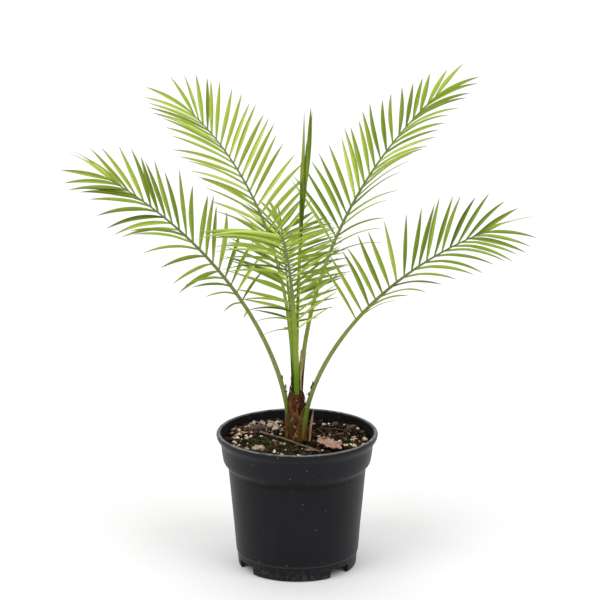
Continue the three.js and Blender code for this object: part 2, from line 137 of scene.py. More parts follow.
# %% A heap that gathers shapes of one kind
class Heap:
    def __init__(self):
        self.corners, self.faces, self.along, self.chance, self.sharp = [], [], [], [], []

    def add(self, corners, faces, along=0.0, chance=0.0, sharp=()):
        start, n = len(self.corners), len(corners)
        self.corners += corners
        self.faces += [tuple(start + i for i in f) for f in faces]
        self.along += each(along, n)
        self.chance += [chance] * n
        self.sharp += [(start + a, start + b) for a, b in sharp]

    def rings(self, rings, along=0.0, chance=0.0, sharp_rows=()):
        """A closed body through rings of equally many corners; a ring of one corner is a point."""
        corners, rows, far, faces, sharp = [], [], [], [], []
        for ring, value in zip(rings, each(along, len(rings))):
            rows.append(range(len(corners), len(corners) + len(ring)))
            corners += ring
            far += [value] * len(ring)
        for a, b in zip(rows, rows[1:]):
            n = max(len(a), len(b))
            for i in range(n):
                j = (i + 1) % n
                if len(a) == 1:
                    faces.append((a[0], b[j], b[i]))
                elif len(b) == 1:
                    faces.append((a[i], a[j], b[0]))
                else:
                    faces.append((a[i], a[j], b[j], b[i]))
            if min(len(a), len(b)) > 1:
                sharp += [(a[i], b[i]) for i in sharp_rows]
        faces += [tuple(end) for end in (rows[0][::-1], rows[-1]) if len(end) > 2]
        self.add(corners, faces, far, chance, sharp)


def in_scene(name, data):
    thing = bpy.data.objects.new(name, data)
    bpy.context.scene.collection.objects.link(thing)
    return thing


def mesh_of(name, corners, faces):
    mesh = bpy.data.meshes.new(name)
    mesh.from_pydata([tuple(float(c) * MM for c in p) for p in corners], [], faces)
    return mesh


def piece(name, heap, finish, stands_for=()):
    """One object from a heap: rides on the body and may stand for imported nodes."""
    mesh = mesh_of(name, heap.corners, heap.faces)
    mesh.validate()
    for label, values in (("along", heap.along), ("chance", heap.chance)):
        field = mesh.attributes.new(label, "FLOAT", "POINT")
        field.data.foreach_set("value", np.array(values, np.float32))
    mesh.polygons.foreach_set("use_smooth", [True] * len(mesh.polygons))
    if heap.sharp:
        wanted = {tuple(sorted(e)) for e in heap.sharp}
        field = mesh.attributes.new("sharp_edge", "BOOLEAN", "EDGE")
        field.data.foreach_set("value", [tuple(sorted(e.vertices)) in wanted for e in mesh.edges])
    mesh.update()
    mesh.materials.append(finish)
    thing = in_scene(name, mesh)
    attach(thing, "root")
    if stands_for:
        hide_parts(*stands_for)
    print(f"{name}: {len(mesh.polygons)} faces")
    return thing


# %% [markdown]
# Finishes are node trees. Written as wiring they are hard to read, so a small class wraps a socket and lets
# plain arithmetic add the Math nodes. One method makes every other node: its type, then its settings, then
# what goes into its sockets. Colours are blended by Mix nodes, because a Math node would turn them grey.
# Most finishes are coats of colour, each laid over the last where its mask allows.


# %% Shader arithmetic
class Wire:
    def __init__(self, tree, socket):
        self.tree, self.socket = tree, socket

    def _math(self, kind, *values):
        node = self.tree.nodes.new("ShaderNodeMath")
        node.operation = kind
        for spot, value in zip(node.inputs, values):
            join(self.tree, spot, value)
        return Wire(self.tree, node.outputs[0])

    def __add__(self, other):
        return self._math("ADD", self, other)

    def __rsub__(self, other):
        return self._math("SUBTRACT", other, self)

    def __mul__(self, other):
        return self._math("MULTIPLY", self, other)

    __radd__, __rmul__ = __add__, __mul__

    def rise(self, lo, hi):
        """0 below lo, 1 above hi, and a smooth step between."""
        node = self.tree.nodes.new("ShaderNodeMapRange")
        node.interpolation_type = "SMOOTHSTEP"
        join(self.tree, node.inputs["Value"], self)
        node.inputs["From Min"].default_value, node.inputs["From Max"].default_value = lo, hi
        return Wire(self.tree, node.outputs["Result"])


def join(tree, spot, value):
    if isinstance(value, Wire):
        tree.links.new(value.socket, spot)
    elif hasattr(value, "__len__") and spot.type == "RGBA" and len(value) == 3:
        spot.default_value = (*value, 1.0)
    else:
        spot.default_value = value


class Finish:
    """A material with one Principled shader, and methods that add nodes in front of it."""

    def __init__(self, name):
        self.material = bpy.data.materials.new(name)
        self.material.use_nodes = True
        self.tree = self.material.node_tree
        self.shader = self.tree.nodes["Principled BSDF"]

    def node(self, kind, settings=None, out=0, **sockets):
        made = self.tree.nodes.new(kind)
        for key, value in (settings or {}).items():
            setattr(made, key, value)
        for key, value in sockets.items():
            join(self.tree, made.inputs[key.replace("_", " ")], value)
        return Wire(self.tree, made.outputs[out])

    def place(self):
        return self.node("ShaderNodeTexCoord", out="Object")

    def height_mm(self):
        return self.node("ShaderNodeSeparateXYZ", Vector=self.place(), out="Z") * 1000

    def field(self, label):
        return self.node("ShaderNodeAttribute", {"attribute_name": label}, out="Fac")

    def grain(self, size_mm, detail=3.0, rough=0.5, stretch=None):
        """Noise whose blobs are about size_mm across, between 0 and 1."""
        where = self.place()
        if stretch:
            where = self.node("ShaderNodeMapping", Vector=where, Scale=stretch)
        return self.node(
            "ShaderNodeTexNoise", Vector=where, Scale=1000.0 / size_mm, Detail=detail, Roughness=rough
        )

    def cells(self, size_mm):
        return self.node("ShaderNodeTexVoronoi", Vector=self.place(), Scale=1000.0 / size_mm)

    def coats(self, base, *coats):
        """Colour over colour: each coat is its share and its colour."""
        for coat in coats:
            made = self.tree.nodes.new("ShaderNodeMix")
            made.data_type = "RGBA"
            for spot, value in zip((0, 6, 7), (coat[0], base, coat[1])):
                join(self.tree, made.inputs[spot], value)
            base = Wire(self.tree, made.outputs[2])
        return base

    def dress(self, colour, rough, gloss=0.5, relief=None):
        """Fill the shader's sockets. A relief is its height, its depth in millimetres and its strength."""
        spots = self.shader.inputs
        join(self.tree, spots["Base Color"], colour)
        join(self.tree, spots["Roughness"], rough)
        join(self.tree, spots["Specular IOR Level"], gloss)
        if relief:
            height, depth_mm, strength = relief
            bump = self.node("ShaderNodeBump", Height=height, Distance=depth_mm * MM, Strength=strength)
            join(self.tree, spots["Normal"], bump)
        return self.material


# %% [markdown]
# ## The pot
# The real pot is moulded in thin black plastic: a rolled lip that flares out, a collar, a step, a tapered
# body and a foot ring cut by four drain slots. A profile turned about the axis gives all of it but the
# slots. They are cut with a Boolean, which keeps their corners crisp. The turned mesh has 144 sides, so the
# lip's outline is round from any distance.

# %% Pot shape
OUTSIDE = [
    (0, 9), (52.2, 9), (52.3, 0.3), (52.6, 0), (54.6, 0), (55.2, 0.4), (55.5, 2), (56.4, 12.4),
    (56.6, 13.2), (57.0, 13.5), (57.2, 14.1), (57.5, 17), (59.3, 40), (61.2, 60), (62.9, 79),
    (64.0, 91.5), (64.2, 94.0), (64.9, 95.8), (66.6, 97.5), (67.6, 98.6), (68.3, 99.9), (68.8, 101.3),
    (69.9, 108), (70.7, 115.2), (71.2, 117.3), (72.3, 119.5), (73.7, 121.2), (74.6, 123.2),
    (75.0, 125.2), (74.9, 126.4), (74.3, 127.2), (73.4, 127.6),
]
INSIDE = [
    (72.4, 127.5), (71.6, 127.1), (71.0, 126.2), (70.5, 124.4), (68.6, 120.4), (68.0, 117), (65.9, 98),
    (65.2, 96.4), (62.4, 93.2), (61.6, 91), (60.2, 70), (54, 15), (52.6, 12.2), (50, 11), (0, 11),
]
SIDES, CRISP = 144, radians(38)
SLOT_MIDDLES, SLOT_HALF = [radians(middle) for middle in (-149.3, -44.3, 30.7, 135.7)], radians(12)
HOLE_OUT, HOLE_RADIUS = 36, 5


def pot_ring(r, z):
    """Thin plastic is never quite true, so a ring wanders a tenth of a millimetre in and out."""
    if r == 0:
        return [vec(0, 0, z)]
    return [polar(r + 0.12 * lumps(a, z / 40, 1.4), a, z) for a in angles(SIDES)]


def cut(thing, tool_heap):
    tool = in_scene("cutter", mesh_of("cutter", tool_heap.corners, tool_heap.faces))
    change = thing.modifiers.new("slots", "BOOLEAN")
    change.operation, change.object, change.solver = "DIFFERENCE", tool, "EXACT"
    bpy.context.view_layer.update()
    shape = bpy.data.meshes.new_from_object(thing.evaluated_get(bpy.context.evaluated_depsgraph_get()))
    thing.modifiers.clear()
    thing.data = shape
    bpy.data.objects.remove(tool)


# %% [markdown]
# Black nursery plastic isn't a plain black. It is a dark grey with a soft gloss, paler where dust has dried
# in the corners of the moulding, and sprinkled with splashes of the mix. Two masks do it: cloudy dust and
# small round splashes from a cell pattern kept only where a second noise allows. Light and shade are painted
# in as well: a painted highlight along the lip, broken up by noise, a painted shadow in a band under the
# collar step, and painted shade on the inner wall above the mix.


# %% Pot finish
def pot_finish():
    f = Finish("black_moulded_plastic")
    height = f.height_mm()
    cloud = f.grain(38, 4, 0.6)
    streak = f.grain(9, 3, 0.6, (1, 1, 0.22))
    splash = (1 - f.cells(5.2).rise(0.09, 0.16)) * f.grain(13, 2).rise(0.56, 0.66)
    fine_spot = (1 - f.cells(2.1).rise(0.1, 0.2)) * f.grain(7, 2).rise(0.6, 0.7)
    foot_dust = (1 - height.rise(1, 16)) * f.grain(4, 4, 0.7).rise(0.42, 0.72)
    # painted shade: the inner wall of the rim above the mix is made darker, and also rougher
    flat = f.node("ShaderNodeVectorMath", {"operation": "MULTIPLY"}, Vector=f.place())
    join(f.tree, flat.socket.node.inputs[1], (1000, 1000, 0))
    away = f.node("ShaderNodeVectorMath", {"operation": "LENGTH"}, out="Value", Vector=flat)
    inside = height.rise(117.5, 119) * (1 - away.rise(71.0, 72.0))
    # painted shadow: a dark band on the step under the collar
    neck_shadow = height.rise(89, 92.5) * (1 - height.rise(95, 97.5))
    foot_edge = height.rise(12.4, 13.1) * (1 - height.rise(14.2, 15))
    # painted highlight: a pale band along the top of the lip, broken up by noise
    lip_highlight = height.rise(126.3, 127.5) * f.grain(6, 3, 0.7).rise(0.2, 0.7)
    colour = f.coats(
        (0.0052, 0.0055, 0.0072),
        (cloud.rise(0.3, 0.75), (0.0078, 0.0082, 0.0104)),
        (streak.rise(0.5, 0.85) * 0.4, (0.0105, 0.0112, 0.0138)),
        (height.rise(98, 101) * 0.35, (0.0125, 0.0135, 0.0165)),
        (neck_shadow * 0.8, (0.0015, 0.0016, 0.002)),
        (foot_edge * 0.5, (0.045, 0.046, 0.05)),
        (inside * 0.85, (0.0012, 0.0012, 0.0013)),
        (lip_highlight * 0.9, (0.26, 0.25, 0.26)),
        (foot_dust * 0.5, (0.085, 0.082, 0.078)),
        (splash * 0.75, (0.13, 0.105, 0.075)),
        (fine_spot * 0.6, (0.1, 0.09, 0.075)),
    )
    skin = f.grain(0.9, 2) * 0.25 + f.grain(14, 2) * 1.0 + splash * 0.6
    return f.dress(colour, 0.34 + cloud * 0.12 + splash * 0.25 + inside * 0.3, 0.14, (skin, 0.12, 0.6))


# %% Make the pot
heap = Heap()
heap.rings([pot_ring(r, z) for r, z in OUTSIDE + INSIDE])
pot = piece("nursery_pot", heap, pot_finish(), ("pot",))
slots = Heap()
for middle in SLOT_MIDDLES:
    outline = [(47, -SLOT_HALF), (63, -SLOT_HALF), (63, SLOT_HALF), (47, SLOT_HALF)]
    slots.rings([[polar(r, middle + a, z) for r, a in outline] for z in (-1.0, 7.8)])
    across, deep = vec(HOLE_RADIUS, 0, 0), vec(0, HOLE_RADIUS, 0)
    slots.rings([ellipse(polar(HOLE_OUT, middle, z), across, deep, 24) for z in (8.0, 12.0)])
cut(pot, slots)
pot.data.polygons.foreach_set("use_smooth", [True] * len(pot.data.polygons))
pot.data.set_sharp_from_angle(angle=CRISP)
print("pot after the slots:", len(pot.data.polygons), "faces")

# %% [markdown]
# ## The potting mix
# The mix is peat and bark, dark and damp, with pale puffed-rock grains, brown crumbs and patches of moss.
# Its surface could be a flat disc with a bump, but a low camera would show that at once. So the top is a
# fine grid pushed up and down by noise: broad swells, then crumbs from a cell pattern, then grit. The
# grains that stand out are real little bodies lying on it.

# %% Surface of the mix
SOIL_LEVEL, SOIL_RELIEF, SOIL_EDGE = 119.6, 0.9, 67.9
AROUND, RINGS = 220, 78
MIX_SIDE = ((49.4, 11.3), (53.5, 15.4), (61.0, 90.8), (65.2, 97.2), (67.3, 116.5))


def mix_height(x, y):
    away = hypot(x, y)
    p = Vector((x, y, 3.0))
    crumb, grit = (noise.voronoi(p / size)[0][0] for size in (4.4, 1.9))
    base = SOIL_LEVEL + SOIL_RELIEF * lumps(atan2(y, x), away / 14, 0.6) * clamp01(away / 30)
    swell = noise.noise(p / 13) * 1.3 + noise.noise(p / 6) * 0.9
    settle = 1 - 0.6 * smooth(60, SOIL_EDGE, away)
    return base - 0.2 + settle * (swell + 1.7 * (0.45 - crumb) + 0.8 * (0.4 - grit))


def on_mix(x, y, up=0.0):
    return vec(x, y, mix_height(x, y) + up)


def mix_finish():
    f = Finish("potting_mix")
    peat = f.grain(3.2, 5, 0.65)
    shred = f.grain(1.1, 3, 0.6, (1, 0.4, 1))
    bark = (1 - f.cells(3.4).rise(0.16, 0.34)) * f.grain(9, 2).rise(0.45, 0.6)
    moss = f.grain(24, 3, 0.6).rise(0.5, 0.62) * f.grain(2.4, 3).rise(0.35, 0.6)
    colour = f.coats(
        (0.0011, 0.0006, 0.0004),
        (peat.rise(0.3, 0.7), (0.0085, 0.005, 0.003)),
        (shred.rise(0.55, 0.8) * 0.6, (0.026, 0.014, 0.008)),
        (bark * 0.4, (0.05, 0.026, 0.015)),
        (moss * 0.6, (0.013, 0.022, 0.0035)),
    )
    return f.dress(colour, 0.85 + peat * 0.12, 0.02, (f.grain(0.8, 3, 0.7) + peat * 0.8, 0.5, 0.9))


# %% Make the mix
heap = Heap()
rings = [[vec(0, 0, MIX_SIDE[0][1])]]
rings += [[polar(r, a, z) for a in angles(AROUND)] for r, z in MIX_SIDE]
for k in range(RINGS):
    r = SOIL_EDGE * (1 - k / RINGS)
    rings.append([on_mix(r * cos(a), r * sin(a)) for a in angles(AROUND)])
heap.rings(rings + [[on_mix(0, 0)]])
piece("potting_mix", heap, mix_finish(), ("soil",))

# %% [markdown]
# A grain is a small ball of triangles, squashed and dented at random and half sunk in the surface. Pale
# grains gather in a drift left of the stem, with a few loose ones in front of it, two white ones behind on
# the right, and a thin scatter everywhere else. Splinters of bark, long and thin, lie between them.

# %% A dented ball
chance = np.random.default_rng(2024)
between = chance.uniform


def ball_mesh():
    made = bmesh.new()
    bmesh.ops.create_icosphere(made, subdivisions=2, radius=1.0)
    corners = [np.array(v.co) for v in made.verts]
    faces = [tuple(v.index for v in f.verts) for f in made.faces]
    made.free()
    return corners, faces


BALL, BALL_FACES = ball_mesh()


def turn_about_z(p, a):
    return vec(p[0] * cos(a) - p[1] * sin(a), p[0] * sin(a) + p[1] * cos(a), p[2])


def grain_on(heap, x, y, size, long, tall, dent, sink=0.3, lean=0.35, wide=1.0):
    """A dented ball lying on the mix; it is `long`, `wide` and `tall` times `size` from middle to skin."""
    turn, tip = between(0, tau), between(-lean, lean)
    shift = Vector(between(-50, 50, 3))
    at = on_mix(x, y, size * tall * (1 - 2 * sink))
    corners = []
    for c in BALL:
        q = c * (1 + dent * 2 * noise.noise(Vector(c) * 1.3 + shift))
        q = size * vec(q[0] * long, q[1] * wide, q[2] * tall + q[0] * long * tip)
        corners.append(at + turn_about_z(q, turn))
    heap.add(corners, BALL_FACES, 0.0, chance.random())


# %% Where grains lie
REACH, STEM_CLEAR = 67, 13


def spread(count, keep=None, out=REACH - 1.0):
    """Random places on the mix, clear of the stem; keep(x, y) is the chance that a place is used."""
    places = []
    while len(places) < count:
        r, a = out * sqrt(chance.random()), between(0, tau)
        x, y = r * cos(a), r * sin(a)
        if r > STEM_CLEAR and (keep is None or chance.random() < keep(x, y)):
            places.append((x, y))
    return places


def patches(thin, *spots):
    """A chance that is `thin` everywhere, and more by its weight at each spot of a given reach."""
    return lambda x, y: thin + sum(w * exp(-((x - cx) ** 2 + (y - cy) ** 2) / s**2) for w, cx, cy, s in spots)


PALE_DRIFT = patches(0.06, (1, -28, 40, 17), (0.7, -55, 17, 13), (0.16, -40, -25, 18), (0.22, 47, -12, 15))
CLOD_CRUMBS = patches(0.04, (1, -40, 26, 12))
MOSSY = patches(0.02, (1, -20, -24, 19), (0.8, 47, -4, 12), (0.5, -34, -6, 12))
# places and sizes of the grains that stand out
PALE_GRAINS = (
    (-60, 27, 1.6), (-55, 25, 1.7), (-47, -1, 1.8), (-43, 7, 1.7), (-59, -1, 1.9), (-46, -33, 1.9),
    (-22, -6, 1.5), (-15, -18, 1.5), (-12, -21, 1.3), (-21, -35, 1.2), (-25, -48, 1.5),
    (-14, -46, 1.8), (30, 3, 1.7), (20, 7, 1.4), (39, -10, 1.6), (53, -23, 1.9), (61, -19, 2.0),
    (63, 0, 2.0), (-33, 45, 2.2), (-26, 41, 2.4), (-37, 38, 2.1), (-19, 36, 2.2), (-21, 29, 2.4),
    (-30, 32, 1.9), (-14, 24, 2.1), (-24, 50, 1.7), (-41, 46, 1.7),
)
WHITE_GRAINS = ((25, 42, 2.3), (30, 41, 1.9), (44, 45, 1.1), (-3, 50, 1.2), (50, -16, 1.5))
YELLOW_LUMPS = ((-36, -30, 3.0), (-32, -31, 2.2), (-54, 12, 2.2), (-51, 16, 1.6), (45, -17, 1.9))


# %% Finishes of the grains
def grain_finish(name, dark, pale, rough, size_mm=0.9, depth_mm=0.15):
    f = Finish(name)
    tone = (f.grain(size_mm * 2.5, 3, 0.6) * 0.7 + f.field("chance") * 0.5).rise(0.1, 0.95)
    relief = f.grain(size_mm, 3, 0.7) + f.cells(size_mm) * 0.5
    return f.dress(f.coats(dark, (tone, pale)), rough, 0.05, (relief, depth_mm, 0.8))


PUFFED = grain_finish("puffed_rock", (0.24, 0.145, 0.09), (0.74, 0.6, 0.46), 0.8, 1.3, 0.35)
CHALKY = grain_finish("white_rock", (0.36, 0.32, 0.27), (0.86, 0.84, 0.78), 0.75, 1.3, 0.3)
STAINED = grain_finish("stained_rock", (0.24, 0.14, 0.05), (0.74, 0.56, 0.3), 0.85, 1.3, 0.35)
CRUMB = grain_finish("bark_crumb", (0.014, 0.008, 0.005), (0.12, 0.065, 0.042), 0.85)
PEAT = grain_finish("peat_crumb", (0.003, 0.002, 0.0014), (0.03, 0.017, 0.01), 0.9)
MOSS = grain_finish("moss", (0.011, 0.018, 0.004), (0.07, 0.088, 0.02), 0.7, 0.5, 0.05)
ROOT = grain_finish("root_hair", (0.05, 0.028, 0.017), (0.24, 0.15, 0.09), 0.8, 0.5, 0.05)

# %% Make the grains
pale, chalk, yellow, brown, dark = Heap(), Heap(), Heap(), Heap(), Heap()
for x, y in spread(190, PALE_DRIFT):
    size = between(0.65, 1.4) ** 1.5
    heap = pale if chance.random() < 0.8 else chalk
    grain_on(heap, x, y, size, between(1, 1.5), 0.8, 0.36)
for spot in PALE_GRAINS:
    grain_on(pale, *spot, 1.25, 0.85, 0.36, 0.22)
for spot in WHITE_GRAINS:
    grain_on(chalk, *spot, 1.4, 0.7, 0.5, wide=0.9)
for spot in YELLOW_LUMPS:
    grain_on(yellow, *spot, 1.3, 0.8, 0.35, 0.2)
for x, y in spread(170):
    grain_on(brown, x, y, between(0.7, 1.7), between(1.2, 2.2), 0.6, 0.35)
for x, y in spread(80, CLOD_CRUMBS):
    grain_on(brown, x, y, between(0.9, 2.0), 1.5, 0.8, 0.4, 0.1)
for x, y in spread(900, out=REACH):
    grain_on(dark, x, y, between(0.5, 1.5), between(1, 1.8), 0.8, 0.35)
for x, y in spread(260, out=REACH):
    grain_on(brown, x, y, between(0.3, 0.6), between(3, 6), 0.8, 0.3, 0.15, 0.2)
piece("pale_grains", pale, PUFFED)
piece("chalky_grains", chalk, CHALKY)
piece("yellow_lumps", yellow, STAINED)
piece("bark_crumbs", brown, CRUMB)
piece("dark_crumbs", dark, PEAT)

# %% [markdown]
# Moss and fine roots finish the surface. A moss shoot is a pointed blade one to three millimetres long, and
# thousands of them make the patches. A root hair is a bent thread lying across the crumbs.


# %% Moss and root hairs
def thread(heap, points, radius, sides=5, taper=0.6):
    """A round tapering tube through points."""
    rings = []
    for k, u in enumerate(shares(len(points))):
        ahead = ahead_at(points, k)
        across = unit(np.cross(ahead, vec(0.13, 0.31, 0.94)))
        r = radius * mix(1, taper, u)
        rings.append(ellipse(points[k], across * r, np.cross(ahead, across) * r, sides))
    heap.rings(rings, shares(len(points)), chance.random())


moss, roots = Heap(), Heap()
for x, y in spread(3600, MOSSY):
    foot = on_mix(x, y, -0.3)
    lean = vec(chance.normal(0, 0.8), chance.normal(0, 0.8), 1.2)
    tip = foot + unit(lean) * between(1.1, 2.8)
    across = unit(np.cross(lean, vec(chance.normal(), chance.normal(), 0.2))) * between(0.25, 0.45)
    belly = ellipse(mix(foot, tip, 0.4), across, unit(np.cross(lean, across)) * 0.12, 4)
    moss.rings([[foot], belly, [tip]], (0.0, 0.4, 1.0), chance.random())
piece("moss", moss, MOSS)
for x, y in spread(70):
    heading, reach = between(0, tau), between(5, 20)
    points = []
    for u in shares(7):
        px = x + reach * u * cos(heading) + 1.6 * sin(4 * u + heading)
        py = y + reach * u * sin(heading) + 1.6 * cos(3 * u + heading)
        if hypot(px, py) < REACH - 1:
            points.append(on_mix(px, py, 0.7 + 1.2 * u * (1 - u)))
    if len(points) > 3:
        thread(roots, points, between(0.12, 0.3), 4)
piece("root_hairs", roots, ROOT)

# %% [markdown]
# ## The crown
# Each frond follows one rule. Its midline leaves the trunk steeply and bends over, leaflets stand on both
# sides at an angle that closes towards the tip, and each leaflet sags under its own weight. The packed
# solids were grown by this very rule, with plain blades. Growing them again with the same seeds puts every
# fine leaflet where its solid is. A leaflet that would touch another frond is lifted, then shortened, then
# left out.

# %% Sizes of the fronds, in millimetres and degrees
STEPS, RIB_PARTS = 160, 16
BLADE_WIDTH, CLEARANCE = 4.8, 4.2
SHRINKS, LIFTS = (1, 0.82, 0.66), (0, 9, -9, 18, -18, 27, -27)
# a row of leaflets: its side and number, its start, end and crowding, its set, and how many have dropped
Row = namedtuple("Row", "side count run angle lift sag ripple tilt bare", defaults=[0])
Frond = namedtuple(
    "Frond",
    "name seed start foot heading slope swing length petiole roll stalk flare "
    "blade base tip power fan back fore",
)
Leaf = namedtuple("Leaf", "at t d w length sag twist side")
FRONDS = [
    Frond(
        "frond_left_low", seed=1586, start=(-10.2, -2, 156), foot=(-8.6, -3, 121.4), heading=189.9,
        slope=(79.7, 33, 0.8), swing=-0.9, length=269.8, petiole=0.353, roll=(-16.4, -52),
        stalk=2.65, flare=0.2, blade=71.6, base=0.79, tip=0.74, power=1.1, fan=16.6,
        back=Row(-1, 20, (0.065, 0.997, 0.06), (74.9, 27.8), (21.9, -5.5), 0.263, (6, 3.14, -0.14), (29, 25)),
        fore=Row(1, 21, (0, 1, 0.09), (63.4, 18.2), (13.1, 8.4), 0.228, (-9.1, 2.99, -0.18), (38, 10)),
    ),
    Frond(
        "frond_right_low", seed=1669, start=(8.9, -8, 150), foot=(5.7, -8.8, 121.4), heading=-9.9,
        slope=(79.7, 24.9, 0.71), swing=0.8, length=241.6, petiole=0.337, roll=(24, 55.8),
        stalk=2.6, flare=0.2, blade=65.9, base=1.15, tip=0.78, power=1.67, fan=10.1,
        back=Row(
            1, 18, (0.116, 0.998, 0.06), (77.3, 22.1), (35.1, 1.9), 0.223, (-5.4, 2.24, -0.01), (-8, 63)
        ),
        fore=Row(-1, 14, (0.099, 0.988, 0.56), (42, 32.4), (35.5, 3.8), 0.306, (10.4, -0.01, 0.74), (35, 28)),
    ),
    Frond(
        "frond_left_high", seed=599, start=(-3.4, -0.6, 168), foot=(-3.2, -0.6, 158), heading=151.4,
        slope=(88.3, 34.1, 1.44), swing=-6, length=282.1, petiole=0.367, roll=(5.2, -11.9),
        stalk=2.1, flare=0.05, blade=75.5, base=0.9, tip=0.74, power=1.62, fan=26.1,
        back=Row(
            -1, 23, (0.067, 0.988, 0.18), (59.2, 35.9), (25.5, 28.1), 0.225, (3.8, 2.97, 0.27), (21, -8)
        ),
        fore=Row(1, 23, (0, 0.985, 0.11), (56.4, 29.8), (-0.2, 9.9), 0.17, (5, 2.55, -0.14), (28, -9)),
    ),
    Frond(
        "frond_right_high", seed=511, start=(3, -1.6, 169), foot=(2.7, -1.6, 159), heading=24,
        slope=(87.2, 38.4, 1), swing=-1.4, length=305.8, petiole=0.365, roll=(29.6, -1.1),
        stalk=2.3, flare=0.05, blade=74.3, base=1.03, tip=0.76, power=1.22, fan=17.2,
        back=Row(1, 20, (0.136, 1, -0.19), (53.4, 40.9), (32.5, 1.6), 0.143, (-2.1, 2.53, 1.3), (-12, 62)),
        fore=Row(
            -1, 20, (0.021, 0.958, 0.06), (46.8, 30.4), (17.5, 5.7), 0.286, (-5.9, 1.65, 0.65), (43, -14)
        ),
    ),
    Frond(
        "frond_front", seed=668, start=(-0.3, -5.6, 166), foot=(-0.2, -5, 157), heading=-98.4,
        slope=(86.7, 25.6, 1.13), swing=4.1, length=209.5, petiole=0.226, roll=(-6.2, 0.1),
        stalk=2.75, flare=0.05, blade=67.9, base=0.48, tip=1.21, power=1.2, fan=11.9,
        back=Row(
            1, 19, (0.045, 0.992, 0.04), (47.3, 42.5), (15.4, 4.8), 0.105, (-3.9, 2.1, 0.36), (25, 23), 1
        ),
        fore=Row(
            -1, 19, (0.045, 0.999, 0.16), (100.1, 73.5), (34.4, 11.4), 0.299, (3.6, 2.07, 0.14), (85, 57), 1
        ),
    ),
    Frond(
        "frond_back", seed=1740, start=(-0.6, 6.4, 166), foot=(-0.6, 5.3, 157), heading=95.2,
        slope=(86.9, 21.5, 0.2), swing=-1.2, length=219, petiole=0.303, roll=(-3.8, 3.7),
        stalk=1.9, flare=0.05, blade=68.4, base=0.38, tip=0.87, power=1.33, fan=33.4,
        back=Row(1, 20, (0, 1, 0.51), (79, 34.7), (16.9, 25.2), 0.146, (-1.6, 1.01, 0.47), (-10, 0)),
        fore=Row(-1, 20, (0.05, 1, 0.05), (77.6, 50.8), (7.5, -0.5), 0.05, (5.3, 1.96, 0.23), (14, -20)),
    ),
]
SPEAR_FOOT, SPEAR_TIP = vec(-0.5, 2, 160), vec(8.5, 6, 402)
SPEAR_HALF, SPEAR_SPREAD = 1.45, 2.4


# %% The frond rule
def heading_of(rise, head):
    return vec(cos(rise) * cos(head), cos(rise) * sin(head), sin(rise))


def midline(f):
    points, turns = [vec(*f.start)], []
    for i in range(STEPS):
        u = (i + 0.5) / STEPS
        turns.append((radians(mix(*f.slope[:2], u ** f.slope[2])), radians(f.heading + f.swing * u * u)))
        points.append(points[-1] + heading_of(*turns[-1]) * (f.length / STEPS))
    return points, turns


def frame_at(f, line, u):
    """Point of the midline and the frond's own directions: along, to its left, up from its face."""
    points, turns = line
    g = clamp01(u) * STEPS
    i = min(STEPS - 1, int(g))
    at = mix(points[i], points[i + 1], g - i)
    h = min(STEPS - 1, max(0.0, g - 0.5))
    j = min(STEPS - 2, int(h))
    rise, head = (mix(a, b, h - j) for a, b in zip(turns[j], turns[j + 1]))
    t, s = heading_of(rise, head), vec(-sin(head), cos(head), 0)
    n = np.cross(t, s)
    roll = radians(mix(*f.roll, u))
    return at, t, s * cos(roll) + n * sin(roll), n * cos(roll) - s * sin(roll)


def rib_radius(f, u):
    return mix(f.stalk, 0.45, clamp01(u) ** 1.2)


# %% The leaflet rule
def leaflet(f, line, row, k, wobble, extra, shrink):
    step = k / (row.count - 1)
    first, last, crowd = row.run
    w = clamp01(mix(first, last, step + crowd * step * (1 - step)))
    at, t, s, n = frame_at(f, line, f.petiole + (1 - f.petiole) * w)
    amount, waves, phase = row.ripple
    angle = radians(
        mix(*row.angle, w**f.power)
        - f.fan * clamp01((w - 0.88) / 0.12) ** 1.5
        + amount * sin(tau * (waves * w + phase))
        + 5 * (wobble[0] - 0.5)
    )
    lift = radians(mix(*row.lift, w) + 8 * (wobble[1] - 0.5) + extra)
    d = t * cos(angle) + s * row.side * sin(angle) * cos(lift) + n * sin(angle) * sin(lift)
    if w < 0.45:
        profile = mix(f.base, 1, 1 - (1 - w / 0.45) ** 2)
    else:
        profile = mix(1, f.tip, ((w - 0.45) / 0.55) ** 2)
    length = f.blade * profile * clamp01(0.35 + w / 0.12) * (1 + 0.08 * (wobble[2] - 0.5)) * shrink
    twist = row.side * mix(*row.tilt, w) + 30 * (wobble[3] - 0.5)
    return Leaf(at, t, d, w, length, row.sag * length * hypot(d[0], d[1]), twist, row.side)


def leaf_point(leaf, r):
    return leaf.at + leaf.d * (leaf.length * r) - vec(0, 0, leaf.sag * r * r)


def apart(a, b, c, d):
    """Shortest distances from the straight piece a-b to each of the pieces c-d."""
    u, v, r = b - a, d - c, a - c
    uu, vv = u @ u, np.einsum("ij,ij->i", v, v)
    uv, ur, vr = v @ u, r @ u, np.einsum("ij,ij->i", v, r)
    den = uu * vv - uv * uv
    safe = np.where(den > 1e-9, den, 1.0)
    s = np.where(den > 1e-9, np.clip((uv * vr - vv * ur) / safe, 0, 1), 0.0)
    t = np.clip((uv * s + vr) / vv, 0, 1)
    s = np.clip((uv * t - ur) / uu, 0, 1)
    return np.linalg.norm((a + s[:, None] * u) - (c + t[:, None] * v), axis=1)


# %% Grow every frond
def spear_point(u):
    at = mix(SPEAR_FOOT, SPEAR_TIP, u)
    at[0] = mix(SPEAR_FOOT[0], SPEAR_TIP[0], u * u)
    return at


def spear_half(u):
    return SPEAR_HALF + SPEAR_SPREAD * smooth(0.57, 0.97, u)


